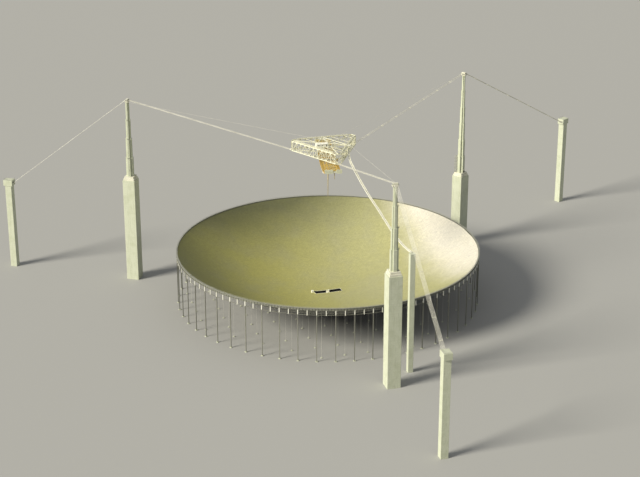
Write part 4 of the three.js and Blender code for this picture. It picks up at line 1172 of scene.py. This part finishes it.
def ring_track():
    """The ring track: an I section, widest in its lower flange, carried round the axis, and the plates
    that stiffen its web."""
    r, high = RING_RADIUS, PLATFORM_LOW - 0.31 - GAP
    flange, web, cap, under = 0.6, 0.12, 0.36, high - 0.1
    half = [(flange, RING_LOW), (flange, RING_FLANGE_TOP), (web, RING_FLANGE_TOP),
            (web, under), (cap, under), (cap, high)]
    out, z = np.array([(-a, b) for a, b in half] + half[::-1]).T
    ring = polar(r + out, np.linspace(0, 2 * np.pi, 97)[:, None], z)
    ring[-1] = ring[0]
    turn = 2 * np.pi * (np.arange(72) + 0.5) / 72
    plates = [ring_posts(turn, RIM + 101.3, under, rect(0.08, 0.24), r + side * 0.24) for side in (-1, 1)]
    return join(surface(ring, ends=False), *plates)


def arm_truss(side):
    """One side of the arm: a curved rail beam (x = radius sin a, z = sphere's centre - radius cos a), an
    upper chord, posts, crossed diagonals and gussets. The bolts are on the outward faces, because the
    carriages' hooks run close along the inward ones."""
    y, out = side * ARM_TRUSS, (0, 1, 0)
    a = math.asin(ARM_HALF / RAIL_RADIUS) * np.linspace(-1, 1, 65)
    middle = RAIL_RADIUS - RAIL_DEPTH / 2
    path = spots(middle * np.sin(a), y, SPHERE_CENTRE - middle * np.cos(a))
    rail = sweep(path, h_beam(RAIL_WIDTH, RAIL_DEPTH, 0.1, 0.16), unit([0, y, SPHERE_CENTRE] - path))
    x = ARM_SPAN * np.linspace(-1, 1, ARM_BAYS + 1)
    low = spots(x, y, SPHERE_CENTRE - np.sqrt((RAIL_RADIUS - RAIL_DEPTH) ** 2 - x**2))
    high = spots(x, y, ARM_TOP)
    chord = along_x(0, y, ARM_TOP, ARM_HALF - 0.35, h_beam(0.5, 0.5, 0.08, 0.1), out)
    posts = bars(low, high, h_beam(0.34, 0.3, 0.05, 0.06), out)
    webs = crossed_webs(low, high, h_beam(0.24, 0.24, 0.05, 0.05), rect(0.14), out)
    hangers = bars((low[:-1] + low[1:]) / 2, (high[:-1] + high[1:]) / 2, rect(0.12), out)
    gussets = []
    for p, lift, level, rise in ((low, 0.25, 0.35, 0.16), (high, -0.3, -0.45, 0.11)):
        for s in (-1, 1):
            gussets.append(along_x(x, y + s * 0.2, p[:, 2] + lift, 0.45, rect(0.04, 0.7)))
        face = p + [0, side * 0.215, level]
        gussets.append(bolts(face, (0.36, 0, 0), 5, (0, 0, rise), 2, (0, side, 0)))
    reach = math.sqrt(RING_RADIUS**2 - ARM_TRUSS**2)
    trolleys = [ring_trolley(math.degrees(math.atan2(y, end * reach))) for end in (-1, 1)]
    return join(rail, chord, posts, *webs, hangers, *gussets, *trolleys)


def ring_trolley(degrees):
    """A trolley round the ring's flange: base, cheeks, lips, and the hub caps of its wheels."""
    low, under, over = ARM_TOP + 0.2, RING_LOW - GAP, RING_FLANGE_TOP + GAP
    cheek, plate, length, r = 0.78, 0.3, 1.8, RING_RADIUS
    parts = [block(r, 0, 2 * (cheek + plate), length, low, under, 0.05)]
    for side in (-1, 1):
        parts.append(block(r + side * (cheek + plate / 2), 0, plate, length, low, over + plate, 0.04))
        parts.append(block(r + side * 0.73, 0, 0.7, length * 0.9, over, over + plate * 0.9, 0.03))
        hubs = spots(r + side * (cheek + plate), [-0.55, 0.55], over - 0.25)
        parts.append(bars(hubs, hubs + [side * 0.12, 0, 0], disc(0.24, 12)))
    return turned(join(*parts), degrees)


def arm_deck():
    """Joists between the upper chords, stringers under the walkways, and the frames that stiffen the arm
    crosswise."""
    z = ARM_TOP + 0.1
    joists = np.arange(-ARM_SPAN + 0.6, ARM_SPAN - 0.5, 2.3)
    across = along_y(joists, 0, z, ARM_TRUSS - 0.5, rect(0.14, 0.2))
    along = along_x(0, [-4.7, -4.1, 4.1, 4.7], z + 0.12, ARM_SPAN, rect(0.12))
    x = ARM_SPAN * (2 * np.arange(1, ARM_BAYS) / ARM_BAYS - 1)
    bow = SPHERE_CENTRE - np.sqrt((RAIL_RADIUS - 2.2) ** 2 - x**2)
    edge = ARM_TRUSS - 0.25
    frames = [bars(spots(x, -y, bow), spots(x, y, ARM_TOP), rect(0.16), (1, 0, 0)) for y in (-edge, edge)]
    return join(across, along, *frames)


def arm_walk():
    """Two railed walkways along the arm, clear of the ring trolleys."""
    z, end = ARM_TOP + 0.3, ARM_SPAN - 0.5
    return join(*[walkway((a, y, z), (b, y, z), 0.8, (0.4, 0.8))
                  for y in (-4.4, 4.4) for a, b in ((-end, -20.5), (-15.5, 15.5), (20.5, end))])


def lobe(width, height, radius):
    """An outline with round lower corners: quarter turns of a circle at both."""
    turn = np.linspace(0, np.pi / 2, 7)
    left = np.stack([-width / 2 + radius - radius * np.cos(turn), radius - radius * np.sin(turn)], 1)
    right = np.stack([width / 2 - radius + radius * np.sin(turn), radius - radius * np.cos(turn)], 1)
    return np.concatenate([[(-width / 2, height)], left, right, [(width / 2, height)]])


def arm_end(side):
    """The white housing over one end of the arm: a cross box between two round-bottomed lobes, which
    have ribs on their outer face and a handrail on top."""
    outer, half = side * (ARM_HALF + GAP + ARM_END), ARM_END / 2
    x = outer - side * half
    shapes = [along_x(x, 0, RIM + 97.6, half - 0.2, lobe(2 * ARM_TRUSS, 1.4, 0.3))]
    for y, width, low, height in ((-5.7, 5.6, RIM + 96.9, 3.4), (4.5, 8.0, RIM + 96.8, 3.6)):
        shapes.append(along_x(x, y, low, half, lobe(width, height, 1.2)))
        ribs = y + np.linspace(-width / 2 + 0.6, width / 2 - 0.6, round(width / 0.8))
        shapes.append(uprights(spots(outer - side * 0.02, ribs, low + 0.9), height - 1.0, rect(0.16, 0.14)))
        posts = spots(outer - side * 0.15, y + (width / 2 - 0.2) * np.linspace(-1, 1, 4), low + height)
        shapes += rails(posts[[0, -1]], (0.9,), disc(0.05, 6))
        shapes.append(uprights(posts, 0.9, disc(0.05, 6)))
    return join(*shapes)


def along_rail(shape, degrees):
    """The shape turned about the sphere's centre, towards +X along the arm."""
    cos, sin = math.cos(math.radians(degrees)), math.sin(math.radians(degrees))
    centre = [0, 0, SPHERE_CENTRE]
    return shape.at((shape.points - centre) @ np.array([[cos, 0, sin], [0, 1, 0], [-sin, 0, cos]]) + centre)


def carriage_house(length, width, height):
    """A carriage: a ribbed house with a roof lip and sill, and two brackets that hook over the rails."""
    top, low = HANG, HANG - height
    walls = ribbed_box(0, 0, length, width, low + 0.25, top - 0.15)
    lip = block(0, 0, length + 0.12, width + 0.12, top - 0.15, top, 0.04)
    sill = block(0, 0, length + 0.06, width + 0.06, low, low + 0.25, 0.04)
    beam_top = SPHERE_CENTRE - RAIL_RADIUS - CLEAR
    over = SPHERE_CENTRE - RAIL_RADIUS + RAIL_DEPTH + 0.006 + GAP
    face = ARM_TRUSS - RAIL_WIDTH / 2 - CLEAR
    parts = [along_y(0, 0, beam_top - 0.35, ARM_TRUSS + 0.4, h_beam(0.8, 0.7, 0.1, 0.14))]
    for side in (-1, 1):
        parts.append(block(0, side * (face - 0.2), 0.8, 0.4, beam_top - 0.5, over + 0.3, 0.03))
        parts.append(block(0, side * (face + CLEAR / 2), 0.8, 0.42, over, over + 0.3, 0.02))
    bracket, angle = join(*parts), math.degrees((length / 2 - 0.8) / RAIL_RADIUS)
    return join(walls, lip, sill, along_rail(bracket, -angle), along_rail(bracket, angle))


def carriage_fittings(length, width, height):
    """Louvred vents on all four walls of a carriage house, and a door at each end."""
    low = HANG - height
    slats, louvre = low + 0.9 + 0.18 * np.arange(7), rect(0.08, 0.1)
    shapes = []
    for side in (-1, 1):
        wall, end = side * (width / 2 + 0.02), side * (length / 2 + 0.02)
        shapes += [along_x(x, wall, slats, 0.6, louvre) for x in (-length / 4, length / 4)]
        shapes += [along_y(end, y, slats, 0.6, louvre) for y in (-width / 4, width / 4)]
        shapes.append(along_y(end, 0, low + 1.3, 0.45, rect(0.08, 1.9)))
    return join(*shapes)


def feed(top, length, radius, tip, collars, fins, y=0.0):
    """A feed: a round tube that tapers evenly, with thin fins close together and wider collars."""
    z = np.linspace(0, length, fins * 4 + 1)
    wall = tip + (radius - tip) * z / length
    near_collar = np.abs(z - np.round(z / length * collars) * length / collars) < 0.14
    wide = wall * np.where(near_collar, 1.35, np.where(np.arange(len(z)) % 4 >= 2, 1.1, 1.0))
    turn = 2 * np.pi * np.arange(20) / 20
    return surface(polar(wide[:, None], turn, (top - length + z)[:, None]) + [0, y, 0])


def publish_arm():
    def put(title, shape, body, slot, finish, *replaced):
        publish(title, turned(shape, ARM_HEADING), body, slot, finish, *replaced)

    publish("ring_track_beam", ring_track(), "structure", "grey_steel", grey_paint, "ring_track")
    put("left_truss_of_arm", arm_truss(1), "azimuth_arm", "ochre_steel", ochre_paint, "arm_left_truss")
    put("right_truss_of_arm", arm_truss(-1), "azimuth_arm", "ochre_steel", ochre_paint, "arm_right_truss")
    put("arm_deck_and_frames", arm_deck(), "azimuth_arm", "ochre_steel", ochre_paint)
    put("arm_walkways", arm_walk(), "azimuth_arm", "ochre_steel", ochre_paint)
    put("near_end_housing", arm_end(-1), "azimuth_arm", "white_steel", dull_white, "arm_near_end")
    put("far_end_housing", arm_end(1), "azimuth_arm", "white_steel", dull_white, "arm_far_end")
    for name, sizes, heading in (("main", MAIN_HOUSE, 0), ("second", SECOND_HOUSE, SECOND_HEADING)):
        house, vents = (along_rail(part(*sizes), heading) for part in (carriage_house, carriage_fittings))
        body = f"{name}_carriage"
        put(f"{name}_house", house, body, "white_steel", house_paint, f"{body}_house")
        put(f"{name}_house_vents", vents, body, "grey_steel", dark_steel)
    top = HANG - MAIN_HOUSE[2] - GAP
    long = feed(top, top - LINE_FEED_TIP, 0.55, 0.22, 6, 96)
    put("line_feed_tube", long, "main_carriage", "feed_metal", feed_material, "line_feed")
    short = along_rail(feed(HANG - SECOND_HOUSE[2] - GAP, 7.0, 0.4, 0.25, 2, 24, -5.4), SECOND_HEADING)
    put("short_feed_tube", short, "second_carriage", "feed_metal", feed_material, "short_feed")


# Catwalk, landing and service cables

def catwalk_line():
    """A centripetal curve through the catwalk's points, as even steps along its length, from the
    landing's end. Each stretch is blended from its four neighbours by knots that are the square roots
    of the distances between them."""
    p = CATWALK_POINTS
    p = np.concatenate([[2 * p[0] - p[1]], p, [2 * p[-1] - p[-2]]])
    a, b, c, d = p[:-3, None], p[1:-2, None], p[2:-1, None], p[3:, None]
    t0 = 0.0
    t1, t2, t3 = np.cumsum([np.sqrt(np.linalg.norm(v - u, axis=-1, keepdims=True))
                            for u, v in ((a, b), (b, c), (c, d))], axis=0)
    t = t1 + (t2 - t1) * np.linspace(0, 1, 40)[None, :, None]
    def mix(u, v, s, e):
        return u * (e - t) / (e - s) + v * (t - s) / (e - s)
    ab, bc, cd = mix(a, b, t0, t1), mix(b, c, t1, t2), mix(c, d, t2, t3)
    line = mix(mix(ab, bc, t0, t2), mix(bc, cd, t1, t3), t1, t2).reshape(-1, 3)
    beside = (line @ turn_matrix(-SIDES["near_right"]))[:, 1]
    line = line[beside < LANDING_START - GAP]
    along = np.append(0, np.cumsum(np.linalg.norm(np.diff(line, axis=0), axis=1)))
    even = np.linspace(0, along[-1], round(along[-1] / BOARD_STEP) + 1)
    return np.stack([np.interp(even, along, line[:, k]) for k in range(3)], 1)


def catwalk_parts():
    """The footbridge: boards across two edge beams and two carrying cables, and sides with toe boards,
    posts, pickets, hand cables and crossed wires."""
    line = catwalk_line()
    posts = line[::5]
    side, post_side = (unit(np.cross([0, 0, 1.0], np.gradient(points, axis=0))) for points in (line, posts))
    steel, ropes = [], []
    for points, across, z, profile in (
        (line, side, 0.2, rect(0.41, 0.08)),
        (posts, post_side, -0.14, h_beam(0.18, 0.2, 0.04, 0.04)),
    ):
        middle, half = points + [0, 0, z], across * CATWALK_HALF
        steel.append(bars(middle - half, middle + half, profile))
    for out in (-0.8, 0.8):
        edge = posts + post_side * out
        steel.append(sweep(edge + [0, 0, 0.05], rect(0.12, 0.28)))
        steel.append(uprights(edge + [0, 0, 0.15], 1.07, rect(0.14)))
        steel.append(sweep(edge + [0, 0, 0.36], rect(0.05, 0.26)))
        steel.append(uprights(line + side * out + [0, 0, 0.2], 0.98, rect(0.06)))
        ropes.append(sweep(posts + post_side * out * 0.8 + [0, 0, -0.2], disc(0.09, 8)))
        for height in (0.7, 1.2):
            ropes.append(sweep(edge + [0, 0, height], disc(0.06, 6)))
        for low, high in ((0.2, 1.2), (1.2, 0.2)):
            ropes.append(bars(edge[:-1] + [0, 0, low], edge[1:] + [0, 0, high], disc(0.03, 4)))
    return join(*steel), join(*ropes)


def landing_rails():
    """Handrails round the platform's landing, its grating, and rungs up to its roof."""
    x0, x1 = SIDE_REACH + 0.36, SIDE_REACH + 3.3
    y0, y1 = LANDING_START + 0.1, LANDING_START + 4.9
    low = LANDING_FLOOR + 0.15
    shapes = rails([(x0, y1, low), (x1, y1, low), (x1, y0, low)], (LOW_RAIL, TOP_RAIL), disc(0.05, 6))
    slats = np.arange(y0, y1, 0.35)
    shapes.append(bars(spots(x0, slats, low + 0.03), spots(x1, slats, low + 0.03), rect(0.2, 0.05)))
    rungs = np.arange(low + 0.3, RIM + 112.4, 0.4)
    shapes.append(along_x(x0 + 0.6, y1 - 0.1, rungs, 0.3, disc(0.03, 5)))
    return turned(join(*shapes), SIDES["near_right"])


def service_cable(start, end):
    """A round cable between its two clamps."""
    clamps = [block(x, y, 0.4, 0.4, z - 0.2, z + 0.2, 0.04) for x, y, z in (start, end)]
    return join(sweep(np.linspace(start, end, 9), disc(SERVICE_RADIUS, 8)), *clamps)


def publish_catwalk():
    steel, ropes = catwalk_parts()
    x, y, top = CATWALK_FOOT
    publish("catwalk_deck", steel, "structure", "white_steel", house_paint, "catwalk")
    publish("catwalk_ropes", ropes, "structure", "cable_steel", cable_material)
    foot = pier(x, y, top, 5.0, 0.12)
    publish("catwalk_pier", foot, "structure", "concrete", concrete_material, "catwalk_landing_pier")
    publish("landing_rails", landing_rails(), "structure", "white_steel", white_paint)
    seat = GAP + 0.2
    start = (TOWER_REACH - 1.6 - seat, 2.6, TOWER_TOP + 0.75)
    hub = (0.36 * math.cos(math.pi / 12) + seat, 0, PLATFORM_TOP + 2.4)
    roof = spots(SIDE_REACH + CHORD / 2 + 1.5, LANDING_START + 2.5, LANDING_ROOF + seat)
    # From the heading of the landing's side to that of the near tower
    roof = roof @ turn_matrix(SIDES["near_right"] - CORNERS["near"])
    for name, (heading, _) in TOWERS.items():
        shape = turned(service_cable(start, roof if name == "near" else hub), heading)
        replaced = f"{name}_service_cable"
        publish(f"{name}_service_rope", shape, "structure", "cable_steel", cable_material, replaced)


# Bridge over the opening, and the cables that hold the dish down

def bridge_steel():
    """Kerbs round both slots, which follow the dish, and railings along the bridge between them."""
    z = DISH_LOW + 0.02
    y0, y1 = SLOT_Y - SLOT_DEPTH / 2, SLOT_Y + SLOT_DEPTH / 2
    shapes = []
    for side in (-1, 1):
        a, b = side * BRIDGE / 2, side * SLOT_REACH
        x, y = np.array([(a, y0), (b, y0), (b, y1), (a, y1), (a, y0)]).T
        ring = spots(x, y, dish_surface(x, y) + 0.1)
        shapes.append(bars(ring[:-1], ring[1:], rect(0.24, 0.4)))
        posts = np.linspace((side * 0.7, y0, z), (side * 0.7, y1, z), 6)
        shapes.append(uprights(posts, TOP_RAIL, disc(0.05, 6)))
        shapes += rails(posts[[0, -1]], (LOW_RAIL, TOP_RAIL), disc(0.05, 6))
    return join(*shapes)


def bridge_boxes():
    """The white box on the bridge and the one at the slots' left end: ribbed walls, a hood and a foot."""
    shapes = []
    for x, y, along, across, height in (
        (0.0, SLOT_Y - 2.0, 1.2, 1.4, 2.4),
        (-16.2, SLOT_Y + 1.5, 2.2, 2.2, 1.7),
    ):
        low = dish_surface(x, y) + 0.02
        top = low + height
        shapes.append(ribbed_box(x, y, along, across, low, top, 0.3, 0.03))
        shapes.append(block(x, y, along + 0.2, across + 0.2, top, top + 0.12, 0.03))
        shapes.append(block(x, y, along + 0.3, across + 0.3, low - 0.05, low + 0.15, 0.03))
    return join(*shapes)


def dish_ties():
    """Upright ties from the net to blocks on the floor, on a square grid inside the rim."""
    steps = 12 * PANEL_LONG * np.arange(-6, 7)
    x, y = (g.ravel() for g in np.meshgrid(steps, steps))
    clear = (np.hypot(x, y) < RIM_RADIUS - 6) & (np.hypot(x, y) > 18)
    x, y = x[clear], y[clear]
    foot = spots(x, y, PAD_TOP)
    ties = bars(foot, spots(x, y, dish_surface(x, y, PANEL_SLAB + 0.2)), disc(0.05, 5))
    screws = uprights(foot + [0, 0, 0.15], 1.35, disc(0.11, 6))
    eyes = uprights(foot, 0.15, rect(0.4))
    return join(ties, screws, eyes), join(*[block(a, b, 1.6, 1.6, 0, PAD_TOP) for a, b in zip(x, y)])


def publish_bridge():
    ropes, feet = dish_ties()
    publish("bridge_steel", bridge_steel(), "structure", "white_steel", white_paint)
    publish("bridge_boxes", bridge_boxes(), "structure", "white_steel", house_paint)
    publish("dish_ties", ropes, "structure", "cable_steel", cable_material)
    publish("dish_tie_blocks", feet, "structure", "concrete", concrete_material)


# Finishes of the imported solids

def finish_nodes():
    """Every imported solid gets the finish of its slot. It shows on those that no piece replaces."""
    finishes = {
        "concrete": bright_concrete,
        "white_steel": white_paint,
        "ochre_steel": ochre_paint,
        "grey_steel": grey_paint,
        "cable_steel": grey_paint,
        "feed_metal": feed_material,
        "reflector_panels": grey_paint,
    }
    for row in frame["record"]["subparts"]:
        piece = frame["nodes"][row["node"]]
        piece.data.materials.clear()
        piece.data.materials.append(finishes[row["material_slot"]])


# Floor, light and camera

def stage_floor():
    """A plain pale floor that fills the view."""
    r = 900.0
    mesh = bpy.data.meshes.new("studio_floor")
    mesh.from_pydata([(-r, -r, 0), (r, -r, 0), (r, r, 0), (-r, r, 0)], [], [(0, 1, 2, 3)])
    made, tree, shader = material("pale_floor")
    fill(tree, shader, {"Base Color": "A9A9A5", "Roughness": 0.95})
    mesh.materials.append(made)
    floor = bpy.data.objects.new("studio_floor", mesh)
    bpy.context.scene.collection.objects.link(floor)
    floor.location.z = -0.002


def studio_light():
    """A broad soft key from the left and slightly in front, and an even pale surround."""
    key = bpy.data.lights.new("key", "SUN")
    key.energy = 4.7
    key.angle = math.radians(20)
    key.color = (1.0, 0.95, 0.84)
    lamp = bpy.data.objects.new("key", key)
    lamp.rotation_euler = (math.radians(60), 0, math.radians(-77.3))
    bpy.context.scene.collection.objects.link(lamp)
    world = bpy.data.worlds.new("studio")
    world.use_nodes = True
    around = world.node_tree.nodes["Background"]
    fill(world.node_tree, around, {"Color": (0.95, 0.97, 1.0, 1), "Strength": 0.36})
    bpy.context.scene.world = world


def place_camera():
    """The photograph's viewpoint: place, tilt and heading, with a long lens."""
    lens = bpy.data.cameras.new("camera")
    lens.sensor_width = 36
    lens.lens = 89.94
    lens.clip_start, lens.clip_end = 0.5, 3000
    camera = bpy.data.objects.new("camera", lens)
    camera.location = (-420.0 * METRE, -1450.06 * METRE, (RIM + 607.39) * METRE)
    camera.rotation_euler = (math.radians(68.41), 0, math.radians(-15.85))
    bpy.context.scene.collection.objects.link(camera)
    bpy.context.scene.camera = camera


finish_nodes()
publish_dish()
publish_rim()
for tower_name, (tower_heading, tower_sizes) in TOWERS.items():
    publish_tower(tower_name, tower_heading, tower_sizes)
publish_platform()
publish_arm()
publish_catwalk()
publish_bridge()
stage_floor()
studio_light()
place_camera()
bpy.context.scene.view_settings.view_transform = "Standard"
